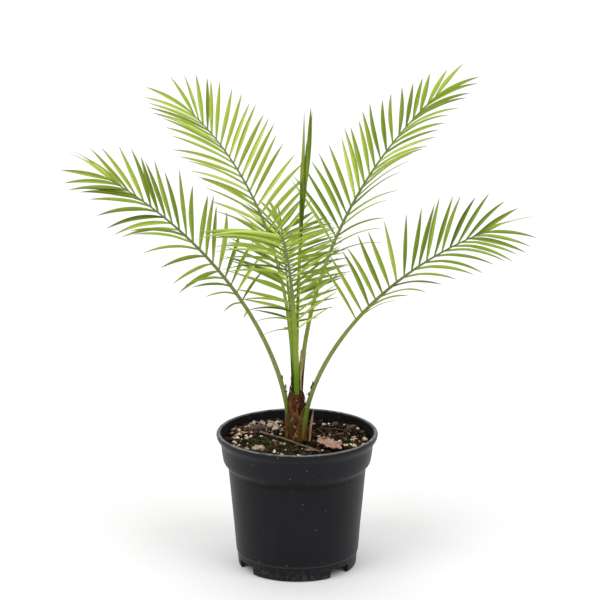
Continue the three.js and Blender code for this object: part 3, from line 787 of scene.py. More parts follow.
def first_clear(f, line, row, k, wobble, others):
    """The least changed leaflet that keeps its distance from the others, with its two parts, or nothing."""
    c, d, need = others
    for shrink in SHRINKS:
        for extra in LIFTS:
            leaf = leaflet(f, line, row, k, wobble, extra, shrink)
            spots = [leaf_point(leaf, r) for r in (0.06, 0.5, 1)]
            parts = list(zip(spots, spots[1:]))
            if all((apart(a, b, c, d) > need).all() for a, b in parts):
                return leaf, parts
    return None, ()


def grow_all():
    # the straight parts that fill the air: their owner, start, end and the distance they need
    filled = [
        (-1, spear_point(u), spear_point(u + 0.25), spear_half(u + 0.2) + 0.6 * BLADE_WIDTH)
        for u in (0, 0.25, 0.5, 0.75)
    ]
    lines = [midline(f) for f in FRONDS]
    for i, f in enumerate(FRONDS):
        for k in range(RIB_PARTS):
            a, b = (frame_at(f, lines[i], v / RIB_PARTS)[0] for v in (k, k + 1))
            filled.append((i, a, b, rib_radius(f, k / RIB_PARTS) + 0.5 * BLADE_WIDTH + 0.2))
    crown = []
    for i, f in enumerate(FRONDS):
        draw, kept = seeded(f.seed), []
        others = [np.array(column) for column in list(zip(*(p for p in filled if p[0] != i)))[1:]]
        for row in (f.back, f.fore):
            for k in range(row.count):
                wobble = [draw() for _ in range(4)]
                if k >= row.bare:
                    leaf, parts = first_clear(f, lines[i], row, k, wobble, others)
                    kept += [leaf] if leaf else []
                    filled += [(i, a, b, CLEARANCE) for a, b in parts]
        crown.append((f, lines[i], kept))
    return crown


crown = grow_all()
print("leaflets:", [len(kept) for _, _, kept in crown])

# %% [markdown]
# ## Leaflets
# A leaflet of this palm is a long narrow blade folded along its middle, so its section is a shallow V that
# opens upwards. Its two halves catch the light differently, which is what makes the crown sparkle. A flat
# card would lose that. So each blade is two slender closed halves that meet along the fold, each a little
# domed and thin at its rim. Its width follows a lance outline that is widest below the middle and ends in a
# long point. Halves that look away from the sky get a darker green, which also keeps the fold clear in soft
# light.

# %% One fine blade
BLADE_ROWS = 18
LIGHT, FRONT = vec(0.35, -0.6, 0.7), vec(0, -0.97, 0.24)
RIM_HALF, BLADE_THICK = 0.045, 0.18


def lance(r):
    """Half width of a blade as a share of its widest, at r from root to tip."""
    if r < 0.36:
        return mix(0.34, 1.0, sin(0.5 * pi * r / 0.36) ** 0.8)
    return (1 - ((r - 0.36) / 0.64) ** 1.75) ** 0.92


def blade_halves(leaf, draw, width):
    """The two halves of a blade, from its root in the rib to its point, and how squarely each is lit."""
    point = lambda r: leaf_point(leaf, r)
    curl = draw.uniform(-14, 14)
    bow = draw.normal(0, 0.012) * leaf.length
    half_most = BLADE_WIDTH / 2 * mix(0.5, 1, clamp01(leaf.w / 0.25)) * draw.uniform(0.9, 1.06) * width
    fold = radians(draw.uniform(20, 34))
    halves, lit, along = ([], []), [0.0, 0.0], []
    for share in shares(BLADE_ROWS):
        r = mix(-0.9 / leaf.length, 0.985, share**0.93)
        inner = max(0, r)
        ahead = unit(point(min(1, r + 0.02)) - point(r))
        flat = unit(leaf.t - ahead * (leaf.t @ ahead))
        up = np.cross(ahead, flat)
        turn = radians(leaf.twist) + radians(curl) * inner**2
        wide = flat * cos(turn) + up * sin(turn)
        top = -leaf.side * (up * cos(turn) - flat * sin(turn))
        half = half_most * lance(inner)
        opening = fold * mix(1.5, 0.55, smooth(0, 0.5, r))
        at = point(r) + wide * (bow * sin(pi * inner))
        thick = mix(0.5, 0.16, smooth(0, 0.9, r)) if half > 0.3 else 0.12
        high, out = half * sin(opening), half * cos(opening)
        dome = high * 0.2 + 0.09 * half
        for j, sign in enumerate((1, -1)):
            ring = [
                at - top * high * 0.3,
                at + sign * wide * out * 0.5 + top * dome,
                at + sign * wide * out + top * (high * 0.7 + RIM_HALF),
                at + sign * wide * out + top * (high * 0.7 - RIM_HALF),
                at + sign * wide * out * 0.5 + top * (dome - BLADE_THICK),
                at - top * (high * 0.3 + thick),
            ]
            halves[j].append(ring[::sign])
            face = top * cos(opening) - sign * wide * sin(opening)
            lit[j] += float(face @ LIGHT) * (1 if face @ FRONT > 0 else -1) / BLADE_ROWS
        along.append(clamp01(r))
    for rings in halves:
        rings.append([point(1.0)])
    return halves, along + [1.0], lit


# %% [markdown]
# Young palms are not one green. The low old fronds are a deeper green, the upper ones are yellower and are
# also dealt paler tones as painted light from above, and a few blades are clearly paler or darker than their
# neighbours. Each leaflet is dealt one of six tones by a seeded draw that leans one way or the other on each
# frond, and its less lit half gets the next darker one, as painted shade.
# Within a tone the finish adds a fine grainy relief, a faint mottling, greyer and then brown tips, a greener
# foot and a waxy gloss.

# %% Leaf finishes
# from the palest to the darkest, each as its light and its shaded colour
TONES = {
    "pale": ((0.57, 0.67, 0.17), (0.49, 0.59, 0.1)),
    "bright": ((0.43, 0.53, 0.1), (0.375, 0.475, 0.055)),
    "fresh": ((0.335, 0.425, 0.066), (0.285, 0.375, 0.034)),
    "mid": ((0.25, 0.325, 0.048), (0.21, 0.285, 0.023)),
    "deep": ((0.175, 0.235, 0.032), (0.145, 0.205, 0.014)),
    "shaded": ((0.115, 0.155, 0.02), (0.088, 0.127, 0.008)),
}


def leaf_finish(tone):
    light, shade = TONES[tone]
    f = Finish("leaf_" + tone)
    along = f.field("along")
    mottle = f.grain(7, 4, 0.6)
    colour = f.coats(
        shade,
        (mottle.rise(0.3, 0.7) * 0.7 + f.field("chance") * 0.3, light),
        (along.rise(0.6, 1.0) * 0.4, (0.2, 0.23, 0.12)),
        (along.rise(0.93, 1.0) * 0.5, (0.15, 0.1, 0.045)),
        ((1 - along.rise(0.0, 0.1)) * 0.5, (0.3, 0.37, 0.06)),
    )
    return f.dress(colour, 0.44 + mottle * 0.14, 0.1, (f.grain(0.55, 2, 0.5) + mottle, 0.05, 0.5))


LEAVES = {tone: leaf_finish(tone) for tone in TONES}

# %% [markdown]
# Each frond's leaflets go in a piece for each tone. The shares say how many of its blades have which tone.
# The back frond stands in the others' shade. A frond that is seen through its own blades also has them a
# shade narrower, as they stand more on edge.

# %% Deal and make the leaflets
# how wide the blades are, and the share of each tone
DEALS = {
    "frond_left_low": (0.98, (0.02, 0.08, 0.42, 0.41, 0.07, 0)),
    "frond_right_low": (0.93, (0.01, 0.08, 0.42, 0.4, 0.09, 0)),
    # the two upper fronds: their paler shares are partly painted light from above
    "frond_left_high": (0.9, (0.3, 0.48, 0.18, 0.04, 0, 0)),
    "frond_right_high": (0.96, (0.07, 0.29, 0.42, 0.22, 0, 0)),
    "frond_front": (0.9, (0.12, 0.2, 0.32, 0.27, 0.07, 0.02)),
    "frond_back": (1.0, (0.02, 0.1, 0.24, 0.34, 0.2, 0.1)),
}
deal = np.random.default_rng(7)
tones = list(TONES)
for f, line, kept in crown:
    heaps = {tone: Heap() for tone in TONES}
    width, parts = DEALS[f.name]
    for leaf in kept:
        rank = int(deal.choice(len(tones), p=parts))
        halves, along, lit = blade_halves(leaf, deal, width)
        streak = deal.random()
        for rings, light in zip(halves, lit):
            tone = tones[min(len(tones) - 1, rank + (light < max(lit)))]
            heaps[tone].rings(rings, along, streak, sharp_rows=(0, 2, 3, 5))
    stands_for = (f.name,)
    for tone, heap in heaps.items():
        if heap.faces:
            piece(f"{f.name}_{tone}_leaflets", heap, LEAVES[tone], stands_for)
            stands_for = ()

# %% [markdown]
# ## Stalks and ribs
# The rib of a frond is a smooth rod, flat below and ridged above where the leaflets join. Its foot is a
# bright green stalk that widens into the sheath that wraps the trunk, and further out it turns a greyish
# olive. The rod follows the frond's midline with a hundred rings. Its colour runs along it.

# %% Stalk mesh and finish
ROD_ROWS, HELD_ROWS, ROD_FLAT = 100, 24, 0.85


def bezier(a, b, c, d, t):
    """Point and direction of the curve that leaves a towards b and comes into d from c."""
    s = 1 - t
    at = a * s**3 + b * (3 * s * s * t) + c * (3 * s * t * t) + d * t**3
    return at, unit((b - a) * (s * s) + (c - b) * (2 * s * t) + (d - c) * (t * t))


def stalk_stations(f, line):
    """Middles and half axes from the foot of the sheath, where `along` is -1, to the tip, where it is 1."""
    at0, t0, s0, _ = frame_at(f, line, 0)
    foot = vec(*f.foot)
    reach = np.linalg.norm(foot - at0) / 3
    stations, along = [], []
    for i in range(HELD_ROWS):
        share = i / HELD_ROWS
        at, t = bezier(foot, foot + vec(0, 0, reach), at0 - t0 * reach, at0, share)
        u = unit(s0 - t * (s0 @ t))
        r = f.stalk * (1 + f.flare * (1 - share))
        stations.append((at, u * r, np.cross(t, u) * (ROD_FLAT * r)))
        along.append(share - 1)
    for u in shares(ROD_ROWS + 1):
        at, _, s, n = frame_at(f, line, u)
        r = rib_radius(f, u)
        stations.append((at, s * r, n * (ROD_FLAT * r)))
        along.append(u)
    return stations, along


# foot green, rib green, where the one turns into the other, and where the sheath's brown turns green
STALK_GREENS = {
    "frond_left_low": ((0.15, 0.2, 0.03), (0.235, 0.28, 0.08), (-0.05, 0.14), (-0.42, -0.12)),
    "frond_right_low": ((0.115, 0.165, 0.022), (0.235, 0.28, 0.08), (-0.02, 0.14), (-0.8, -0.16)),
    "frond_left_high": ((0.19, 0.27, 0.03), (0.26, 0.345, 0.045), (0.06, 0.25), (-0.9, -0.5)),
    "frond_right_high": ((0.33, 0.3, 0.1), (0.23, 0.285, 0.05), (0.08, 0.14), (0.03, 0.065)),
    "frond_front": ((0.088, 0.215, 0.006), (0.25, 0.345, 0.038), (0.03, 0.2), (-0.9, -0.5)),
    "frond_back": ((0.16, 0.21, 0.04), (0.18, 0.235, 0.05), (0.02, 0.34), (-0.9, -0.5)),
}


def stalk_finish(name):
    foot, rib, turn, greening = STALK_GREENS[name]
    f = Finish("stalk_of_" + name)
    along = f.field("along")
    streak = f.grain(2.2, 3, 0.6, (1, 1, 0.12))
    cloud = f.grain(11, 3, 0.6)
    husk = f.coats((0.07, 0.03, 0.008), (streak.rise(0.3, 0.7), (0.2, 0.105, 0.03)))
    colour = f.coats(
        foot,
        (along.rise(*turn), rib),
        (along.rise(0.36, 0.6) * 0.7, (0.15, 0.18, 0.075)),
        (streak.rise(0.4, 0.75) * 0.35, (0.1, 0.145, 0.02)),
        (cloud.rise(0.55, 0.8) * 0.25, (0.3, 0.35, 0.11)),
        (1 - along.rise(*greening), husk),
    )
    return f.dress(colour, 0.48 + cloud * 0.15, 0.1, (streak, 0.15, 0.6))


# %% Make the stalks
# a swelling where a leaflet joins: how far out on the leaflet, and how thick
SWELLING = ((-0.6, 0.5), (0.5, 0.85), (1.6, 0.62), (2.6, 0.3))
for f, line, kept in crown:
    heap = Heap()
    stations, along = stalk_stations(f, line)
    heap.rings([ellipse(*station, 12, 0.5) for station in stations], along)
    for leaf in kept:
        across = unit(np.cross(leaf.d, leaf.t))
        rings = [ellipse(leaf.at + leaf.d * r, leaf.t * a * 1.15, across * a * 0.75, 7) for r, a in SWELLING]
        heap.rings(rings, 0.9, deal.random())
    piece(f.name + "_stalk", heap, stalk_finish(f.name))

# %% [markdown]
# The stalks of this palm carry a few short stiff spines where the lowest leaflets have turned to thorns.
# They are small, but their pricks against a pale ground are part of how the plant is recognised.

# %% Spines on the stalks
spines = Heap()
for f, line, kept in crown:
    count, size = (11, 1.25) if f.flare > 0.1 else (7, 0.8)
    for k in range(count):
        for side in (-1, 1):
            if deal.random() < 0.25:
                continue
            u = mix(0.05, f.petiole * 0.98, (k + deal.uniform(0, 0.8)) / count)
            at, t, s, n = frame_at(f, line, u)
            reach = deal.uniform(1.6, 3.4) * size
            d = unit(t * deal.uniform(0.5, 1.1) + s * side + n * deal.uniform(0.05, 0.5))
            root = at + s * side * (rib_radius(f, u) * 0.75)
            thread(spines, [root, root + d * reach * 0.5, root + d * reach], 0.34, 5, 0.12)


def spine_finish():
    f = Finish("stalk_spine")
    colour = f.coats(
        (0.16, 0.19, 0.06),
        (f.field("along").rise(0.2, 0.9), (0.1, 0.06, 0.03)),
        (f.grain(1.5, 2) * 0.4, (0.25, 0.2, 0.1)),
    )
    return f.dress(colour, 0.5, relief=(f.grain(0.6, 2), 0.04, 0.5))


piece("stalk_spines", spines, spine_finish())

# %% [markdown]
# ## The spear
# The newest frond is still folded. Its leaflets lie pressed together like a closed fan, so the spear is a
# pleated rod. Near the top it has begun to part into separate blades with light between them.

# %% Spear
BUNDLE_ROWS, BUNDLE_TOP, PLEATS, SPEAR_BLADE_ROWS = 90, 0.905, 6, 24
# for each blade: where it leaves the bundle, sideways and in depth, its half width, its tip, the turn of its
# face, the share of its length where it begins to narrow, the power of that, and whether it is a dark one
SPEAR_BLADES = (
    (0.8, -0.6, -0.3, 2.0, vec(6.5, 5.6, 428), 0.35, 0.22, 1.1, False),
    (0.8, 1.6, -0.4, 2.0, vec(12.3, 6.4, 430), -0.3, 0.6, 1.6, True),
    (0.8, 1.9, 0.5, 1.7, vec(13.7, 6.8, 427), 0.25, 0.45, 1.3, False),
    (0.76, 0.5, 0.6, 1.5, vec(8.6, 6.8, 400), 0.1, 0.3, 1.2, True),
    (0.72, -1.2, 0.3, 1.2, vec(4.3, 5.6, 391), -0.4, 0.3, 1.2, True),
)


def pleated_ring(u):
    """One ring of a flat bundle of folded leaflets, whose front and back are a row of sharp pleats."""
    a, b = spear_half(u), mix(1.3, 0.9, u)
    ring = []
    for t in angles(PLEATS * 4, 0.5):
        fold = 0.5 + 0.5 * cos(PLEATS * pi * (cos(t) + 0.25 * u))
        depth = b * (1 - 0.45 * fold * smooth(0.05, 0.3, u))
        ring.append(spear_point(u) + vec(a * cos(t), depth * sin(t), 0))
    return ring


def upright_blade(heap, from_u, dx, dy, half, tip, phase, narrows, power):
    start = spear_point(from_u) + vec(dx, dy, 0)
    wide, top = polar(1, phase, 0), vec(-sin(phase), cos(phase), 0)
    rings, along = [], [k / SPEAR_BLADE_ROWS for k in range(SPEAR_BLADE_ROWS + 1)]
    for r in along[:-1]:
        at = mix(start, tip, r) + vec(0.1 * dx * sin(pi * r) * copysign(4, dx), 0, 0)
        w = half * mix(0.75, 1, smooth(0, 0.3, r))
        w *= 1 - 0.97 * clamp01((r - narrows) / (1 - narrows)) ** power
        side = ((wide, 0), (wide, 0.1), (-wide, 0.1), (-wide, 0))
        low, high, far_high, far_low = (at + d * w + top * (w * 0.3 + thick) for d, thick in side)
        rings.append([at - top * w * 0.35, low, high, at - top * (w * 0.35 - 0.3), far_high, far_low])
    heap.rings(rings + [[tip]], along, deal.random(), sharp_rows=range(6))


def spear_finish(name, shade, light, edge):
    f = Finish(name)
    fold = f.grain(2.6, 3, 0.6, (1, 1, 0.015))
    cloud = f.grain(14, 3)
    colour = f.coats(
        shade,
        (fold.rise(0.35, 0.65), light),
        (cloud.rise(0.4, 0.8) * 0.3, light),
        (fold.rise(0.66, 0.8) * 0.5, edge),
    )
    return f.dress(colour, 0.5 + cloud * 0.12, 0.1, (fold, 0.15, 0.7))


FOLDED = spear_finish("folded_spear", (0.055, 0.092, 0.005), (0.25, 0.34, 0.028), (0.42, 0.5, 0.13))
PARTING = spear_finish("parting_blade", (0.19, 0.26, 0.035), (0.36, 0.45, 0.09), (0.5, 0.56, 0.2))
DARK_BLADE = spear_finish("dark_blade", (0.075, 0.12, 0.01), (0.2, 0.27, 0.035), (0.36, 0.44, 0.1))
bundle, pale_blades, dark_blades = Heap(), Heap(), Heap()
along = [BUNDLE_TOP * i / BUNDLE_ROWS for i in range(BUNDLE_ROWS + 1)]
bundle.rings([pleated_ring(u) for u in along], along, 0.4)
for *shape, is_dark in SPEAR_BLADES:
    upright_blade(dark_blades if is_dark else pale_blades, *shape)
piece("spear_bundle", bundle, FOLDED, ("spear_leaf",))
piece("spear_pale_blades", pale_blades, PARTING)
piece("spear_dark_blades", dark_blades, DARK_BLADE)

# %% [markdown]
# ## The trunk
# What shows of this young trunk is not bark but the wrapped bases of leaves. Each base is a sheath, a sheet
# of brown fibre rolled round the trunk, whose torn margin slants across the sheets below it. So the trunk
# is made the same way: a dark core, then one thin sheet after another, each a little further out, with its
# fibres lying along its own margin. Threads along the margins and a few loose hairs finish it.

# %% Trunk core
TRUNK_ROWS = (
    (120.8, 10.9), (123.5, 10.2), (128, 9.5), (134, 9), (140, 8.7), (146, 8.5), (151, 8.3), (156, 7.8),
    (160, 7.1), (163.5, 6.4), (166, 5.4),
)
TRUNK_FOOT, TRUNK_TOP, TRUNK_LEAN = 120.8, 166, -0.9
CORE_IN = 0.45  # the core stays this far inside, to leave room for the sheets
T_AROUND, T_UP = 132, 100


def trunk_radius(a, z):
    wrap = (a / tau * 3 + z / 15) % 1.0
    lap = wrap if wrap < 0.93 else (1 - wrap) / 0.07 * 0.93
    return float(np.interp(z, *zip(*TRUNK_ROWS))) * (0.97 + 0.06 * lap + 0.03 * lumps(a, z / 9, 2))


def on_trunk(a, z, off=0.0):
    """The point at angle a and height z, `off` outside the trunk."""
    middle = TRUNK_LEAN * clamp01((z - TRUNK_FOOT) / (TRUNK_TOP - TRUNK_FOOT))
    r = trunk_radius(a, min(TRUNK_TOP, max(TRUNK_FOOT, z))) + off
    return polar(r, a, z) + vec(middle, 0, 0)


def fibre_relief(q, z):
    """Ridges of a fibre mat: q runs across the fibres, in millimetres."""
    fine, broad = rumple(q / 0.45, z / 9, 1.5), rumple(q / 1.7, z / 14, 7.5)
    return 0.16 * fine + 0.24 * broad + 0.12 * rumple(q / 3, z / 4, 0)


def core_point(a, z):
    q = a * 9 + 0.62 * z
    q = min(q, tau * 9 + 0.62 * z - q)
    frayed = 0.8 * lumps(a, 0, 1) * smooth(160, 166, z)
    return on_trunk(a, z, fibre_relief(q, z) - CORE_IN) + vec(0, 0, frayed)


# %% [markdown]
# The fibre finish draws its streaks along the sheet's own margin, because `along` runs from the margin
# inwards on every sheet. The edge itself is worn to a pale tan. A sheath that belongs to a living stalk is
# still partly green, and the green fades to brown where the sheath goes into the damp mix.


# %% Fibre finish
def fibre_finish(name, dark, mid, worn, living=None, span=18.0):
    f = Finish(name)
    along, height = f.field("along"), f.height_mm()
    lie = f.node("ShaderNodeCombineXYZ", X=along * (span / 0.75), Y=height * 0.11, Z=f.field("chance") * 40)
    streak = f.node("ShaderNodeTexNoise", Vector=lie, Scale=1.0, Detail=4.0, Roughness=0.65)
    patch = f.grain(7, 4, 0.6)
    fine = f.grain(0.6, 3, 0.6, (1, 1, 0.25))
    colour = f.coats(
        dark,
        (streak.rise(0.36, 0.66), mid),
        (patch.rise(0.38, 0.7) * 0.45, dark),
        (fine.rise(0.6, 0.8) * 0.4, worn),
    )
    if living:
        green, start, fade = living
        share = along.rise(*start) * (1 - along.rise(*fade)) * height.rise(126, 139)
        colour = f.coats(colour, (share * (0.55 + streak * 0.45), green))
    colour = f.coats(
        colour,
        ((1 - along.rise(0.015, 0.06)) * (0.35 + fine * 0.65), worn),
        ((1 - height.rise(119.5, 126)) * 0.6, (0.02, 0.011, 0.006)),
    )
    return f.dress(colour, 0.85 + patch * 0.1, 0.05, (streak + fine, 0.35, 0.8))


CORE_FIBRE = fibre_finish("fibre_core", (0.022, 0.007, 0.0028), (0.11, 0.038, 0.013), (0.16, 0.07, 0.027))
rings = [[core_point(a, mix(119.4, TRUNK_TOP, v)) for a in angles(T_AROUND)] for v in shares(T_UP + 1)]
rings = [[vec(0, 0, 119.0)]] + rings + [[vec(TRUNK_LEAN, 0, TRUNK_TOP + 0.4)]]
heap = Heap()
heap.rings(rings, [0.0] + [0.3] * (T_UP + 2), 0.5)
piece("trunk_relief", heap, CORE_FIBRE, ("trunk",))


# %% Sheets round the trunk
def sheet(heap, grid, outward, thick, along, tone):
    """A thin closed sheet through a grid of points; outward(p) is the way its face looks."""
    rows, cols = len(grid), len(grid[0])
    n = rows * cols
    corners = [p + side * outward(p) * thick / 2 for side in (1, -1) for row in grid for p in row]
    faces = []
    for i in range(rows - 1):
        for a in range(i * cols, i * cols + cols - 1):
            b, c, d = a + cols, a + cols + 1, a + 1
            faces += [(a, b, c, d), (n + a, n + d, n + c, n + b)]
    spots = np.arange(n).reshape(rows, cols)
    rim = np.concatenate([spots[:, 0], spots[-1, 1:], spots[-2::-1, -1], spots[0, -2:0:-1]]).tolist()
    faces += [(p, n + p, n + q, q) for p, q in zip(rim, rim[1:] + rim[:1])]
    i, j = rows // 2, cols // 2
    face = np.cross(grid[i + 1][j] - grid[i][j], grid[i][j + 1] - grid[i][j])
    if face @ outward(grid[i][j]) < 0:
        faces = [f[::-1] for f in faces]
    heap.add(corners, faces, list(along) * 2, tone)


def from_axis(p):
    return unit(vec(p[0] - TRUNK_LEAN / 2, p[1], 0))


DRY = ((0.034, 0.011, 0.003), (0.155, 0.058, 0.015), (0.4, 0.2, 0.078))
RED = ((0.042, 0.012, 0.004), (0.185, 0.058, 0.019), (0.4, 0.18, 0.075))
OLIVE = ((0.044, 0.022, 0.005), (0.145, 0.078, 0.016), (0.44, 0.26, 0.09))
# name, distance out, margin as (height, angle) from the top down, angle of the far end, colours, and where it
# is still green; a sheath of a living stalk also names the frond, and its sheet rises to that stalk
SHEATHS = (
    ("sheath_back_left", 0.0, ((160, 70), (152, 112), (143, 128), (121, 140)), 20, DRY, None, None),
    ("sheath_back_right", 0.2, ((158, 120), (150, 74), (140, 52), (121, 40)), 165, DRY, None, None),
    (
        "sheath_upper", 0.3,
        ((165, -141), (162, -119), (159, -100), (155.7, -91), (151, -85), (146, -80), (138, -76)), -205,
        RED, None, None,
    ),
    (
        "sheath_left", 0.65,
        ((156.5, -152), (155, -136), (151, -115), (147.6, -97), (144.7, -79), (138, -70), (121, -62)), -218,
        DRY, ((0.1, 0.1, 0.02), (0.35, 0.6), (0.85, 1.0)), "frond_left_low",
    ),
    (
        "sheath_right", 1.0,
        (
            (153.5, -50), (150, -62), (146, -72), (142, -76), (134, -80), (129, -97), (125, -107),
            (121, -113),
        ),
        28,
        OLIVE, ((0.085, 0.13, 0.014), (0.1, 0.3), (0.55, 0.8)), "frond_right_low",
    ),
)
SHEET_ROWS, SHEET_COLS = 58, 44
FRONDS_BY_NAME = {f.name: (f, line) for f, line, _ in crown}


def stalk_axis(name):
    """Heights, angles and distances from the trunk's axis of a frond's sheath."""
    spots = [s[0] for s, u in zip(*stalk_stations(*FRONDS_BY_NAME[name])) if u <= 0.02]
    return [p[2] for p in spots], [atan2(p[1], p[0]) for p in spots], [hypot(p[0], p[1]) for p in spots]


def rise_to_stalk(axis, a, z, off):
    """How far a sheet stands out to pass over the stalk it belongs to."""
    aim, at = (float(np.interp(z, axis[0], values)) for values in axis[1:])
    turn = (a - aim + pi) % tau - pi
    return max(0.0, at - trunk_radius(a, z) - off) * exp(-((turn / radians(17)) ** 2))


tan_threads, dark_strands = Heap(), Heap()
for order, (name, off, margin, far, colours, living, stalk) in enumerate(SHEATHS):
    heap = Heap()
    top, low, end = margin[0][0], margin[-1][0] - 1.2, radians(far)
    heights, bearings = zip(*reversed(margin))
    axis = stalk_axis(stalk) if stalk else None

    def sheet_point(z, v, extra=0.0):
        a = mix(radians(float(np.interp(z, heights, bearings))), end, v**1.3)
        q = 20 * v**1.3
        lifted = 0.35 * exp(-v / 0.04) + 0.1 * sin(z * 0.9 + order) * exp(-v / 0.1)
        if axis:
            lifted += rise_to_stalk(axis, a, z, off)
        relief = 0.8 * fibre_relief(q, z + 30 * order) + 0.05 * rumple(q, z / 3, order)
        return on_trunk(a, z, off + lifted + relief + extra)

    grid = [[sheet_point(mix(low, top, u), v) for v in shares(SHEET_COLS)] for u in shares(SHEET_ROWS)[:-1]]
    ragged = [top + 0.7 * rumple(j / 2.5, order, 2) for j in range(SHEET_COLS)]
    grid.append([sheet_point(z, v) for z, v in zip(ragged, shares(SHEET_COLS))])
    sheet(heap, grid, from_axis, 0.35, shares(SHEET_COLS) * SHEET_ROWS, 0.1 + 0.17 * order)
    piece(name, heap, fibre_finish(name + "_fibre", *colours, living))
    # threads along the margin, and some further in that lie beside it
    for k in range(13):
        if k < 2:
            v, bottom, reach, thick = 0.0, low + 1.5, top - low - 2, 0.27
        else:
            v, bottom = between(0.02, 0.75) ** 1.5, between(low + 1, mix(low, top, 0.7))
            reach, thick = between(6, 20), between(0.1, 0.2)
        points = []
        for s in shares(12):
            inward = clamp01(v + 0.012 * sin(3 * s + k))
            points.append(sheet_point(min(top, bottom + reach * s), inward, 0.18))
        thread(tan_threads, points, thick)

# %% [markdown]
# Below the middle stalks the topmost sheath ends in a level rim that stands a little off them, with a dark
# gap behind it. Papery scraps cling to the sheets where an older base has worn away.

# %% Collar and scraps
COLLAR_ROWS, COLLAR_COLS = 52, 9


def collar_point(a, v):
    dip = 0.4 * exp(-(((a + radians(82)) / 0.75) ** 2))
    z = 166.2 - dip + 0.35 * rumple(a * 5, 0, 3) - 7.5 * v
    stalk_front = 8.15 + 0.6 * (z - 157) / 9
    cover = (stalk_front - trunk_radius(a, z)) * exp(-(((a + pi / 2) / 0.5) ** 4))
    return on_trunk(a, z, max(0.25, cover) + 1.4 * fibre_relief(a * 9, z))


heap = Heap()
bearings = [radians(mix(-200, 22, u)) for u in shares(COLLAR_ROWS)]
grid = [[collar_point(a, v) for v in shares(COLLAR_COLS)] for a in bearings]
sheet(heap, grid, from_axis, 0.3, shares(COLLAR_COLS) * COLLAR_ROWS, 0.9)
piece("sheath_collar", heap, fibre_finish("collar_fibre", *DRY, span=7.0))


# %% Fibre strands
def strand_points(a0, z0, slope, reach, off, lift=0.0, n=9):
    return [
        on_trunk(a0 + slope * reach * u + 0.06 * sin(5 * u + a0 * 7), z0 + reach * u, off + lift * u * u)
        for u in shares(n)
    ]


for k in range(90):
    slope = chance.choice((-1, 1)) * between(0.02, 0.06)
    z0 = between(120, 154)
    reach = min(164 - z0, between(6, 18))
    points = strand_points(between(0, tau), z0, slope, reach, between(0.5, 1.4))
    heap = dark_strands if chance.random() < 0.75 else tan_threads
    thread(heap, points, between(0.08, 0.2), 5, between(0.3, 1.0))
for k in range(34):  # loose ends that stand off the trunk, most of them near its top
    z0 = between(146, 162) if chance.random() < 0.75 else between(124, 146)
    a0, slope, reach = between(0, tau), chance.normal(0, 0.03), between(4, 11)
    points = strand_points(a0, z0, slope, reach, 0.6, between(0.6, 2.6), 7)
    thread(dark_strands if chance.random() < 0.7 else tan_threads, points, 0.13, 4, 0.35)
TAN = grain_finish("tan_fibre", (0.15, 0.068, 0.024), (0.4, 0.235, 0.1), 0.8, 0.6, 0.05)
DARK = grain_finish("dark_fibre", (0.018, 0.006, 0.003), (0.075, 0.028, 0.012), 0.85, 0.6, 0.05)
piece("tan_threads", tan_threads, TAN)
piece("dark_strands", dark_strands, DARK)


# %% Papery strips
def strip(heap, path, half, thick, out, crinkle=0.25, ends=(0.6, 0.1), sides_curl=0.2):
    """A thin crinkled strip along a path; `out` is the direction that its flat side looks to."""
    rings = []
    shift = between(0, 9)
    for k, u in enumerate(shares(len(path))):
        ahead = ahead_at(path, k)
        face = unit(out - ahead * (out @ ahead))
        wide = np.cross(ahead, face)
        w = half * mix(ends[0], 1, smooth(0, 0.25, u)) * mix(1, ends[1], smooth(0.55, 1, u))
        middles = []
        for x in (i / 3 - 1 for i in range(7)):
            ripple = crinkle * rumple(x * 1.7 + shift, u * 7, shift)
            edge = 1 + 0.12 * rumple(shift, u * 12, x)
            middles.append(path[k] + wide * (w * x * edge) + face * (ripple - sides_curl * w * x * x))
        rings.append([p + face * thick / 2 for p in middles] + [p - face * thick / 2 for p in middles[::-1]])
    heap.rings(rings, shares(len(path)), chance.random())


def curve_points(knots, n):
    """Points of a smooth curve through a few knots."""
    knots = [vec(*k) for k in knots]
    knots = [2 * knots[0] - knots[1]] + knots + [2 * knots[-1] - knots[-2]]
    points = []
    for u in shares(n):
        g = u * (len(knots) - 3)
        i = min(len(knots) - 4, int(g))
        t = g - i
        a, b, c, d = knots[i : i + 4]
        bend = (2 * a - 5 * b + 4 * c - d) * t**2 + (3 * b - a - 3 * c + d) * t**3
        points.append(0.5 * (2 * b + (c - a) * t + bend))
    return points


def paper_finish(name, dark, pale):
    f = Finish(name)
    line = f.grain(0.9, 3, 0.6, (1, 1, 0.2))
    cloud = f.grain(6, 3, 0.6)
    shade = tuple(0.5 * c for c in dark)
    colour = f.coats(dark, (line.rise(0.35, 0.7), pale), (cloud.rise(0.5, 0.75) * 0.5, shade))
    return f.dress(colour, 0.75 + cloud * 0.2, 0.1, (line, 0.12, 0.6))


PINKISH_SCRAP = paper_finish("pinkish_scrap", (0.11, 0.048, 0.03), (0.42, 0.23, 0.165))
BROWN_PAPER = paper_finish("brown_paper", (0.03, 0.014, 0.007), (0.11, 0.058, 0.028))
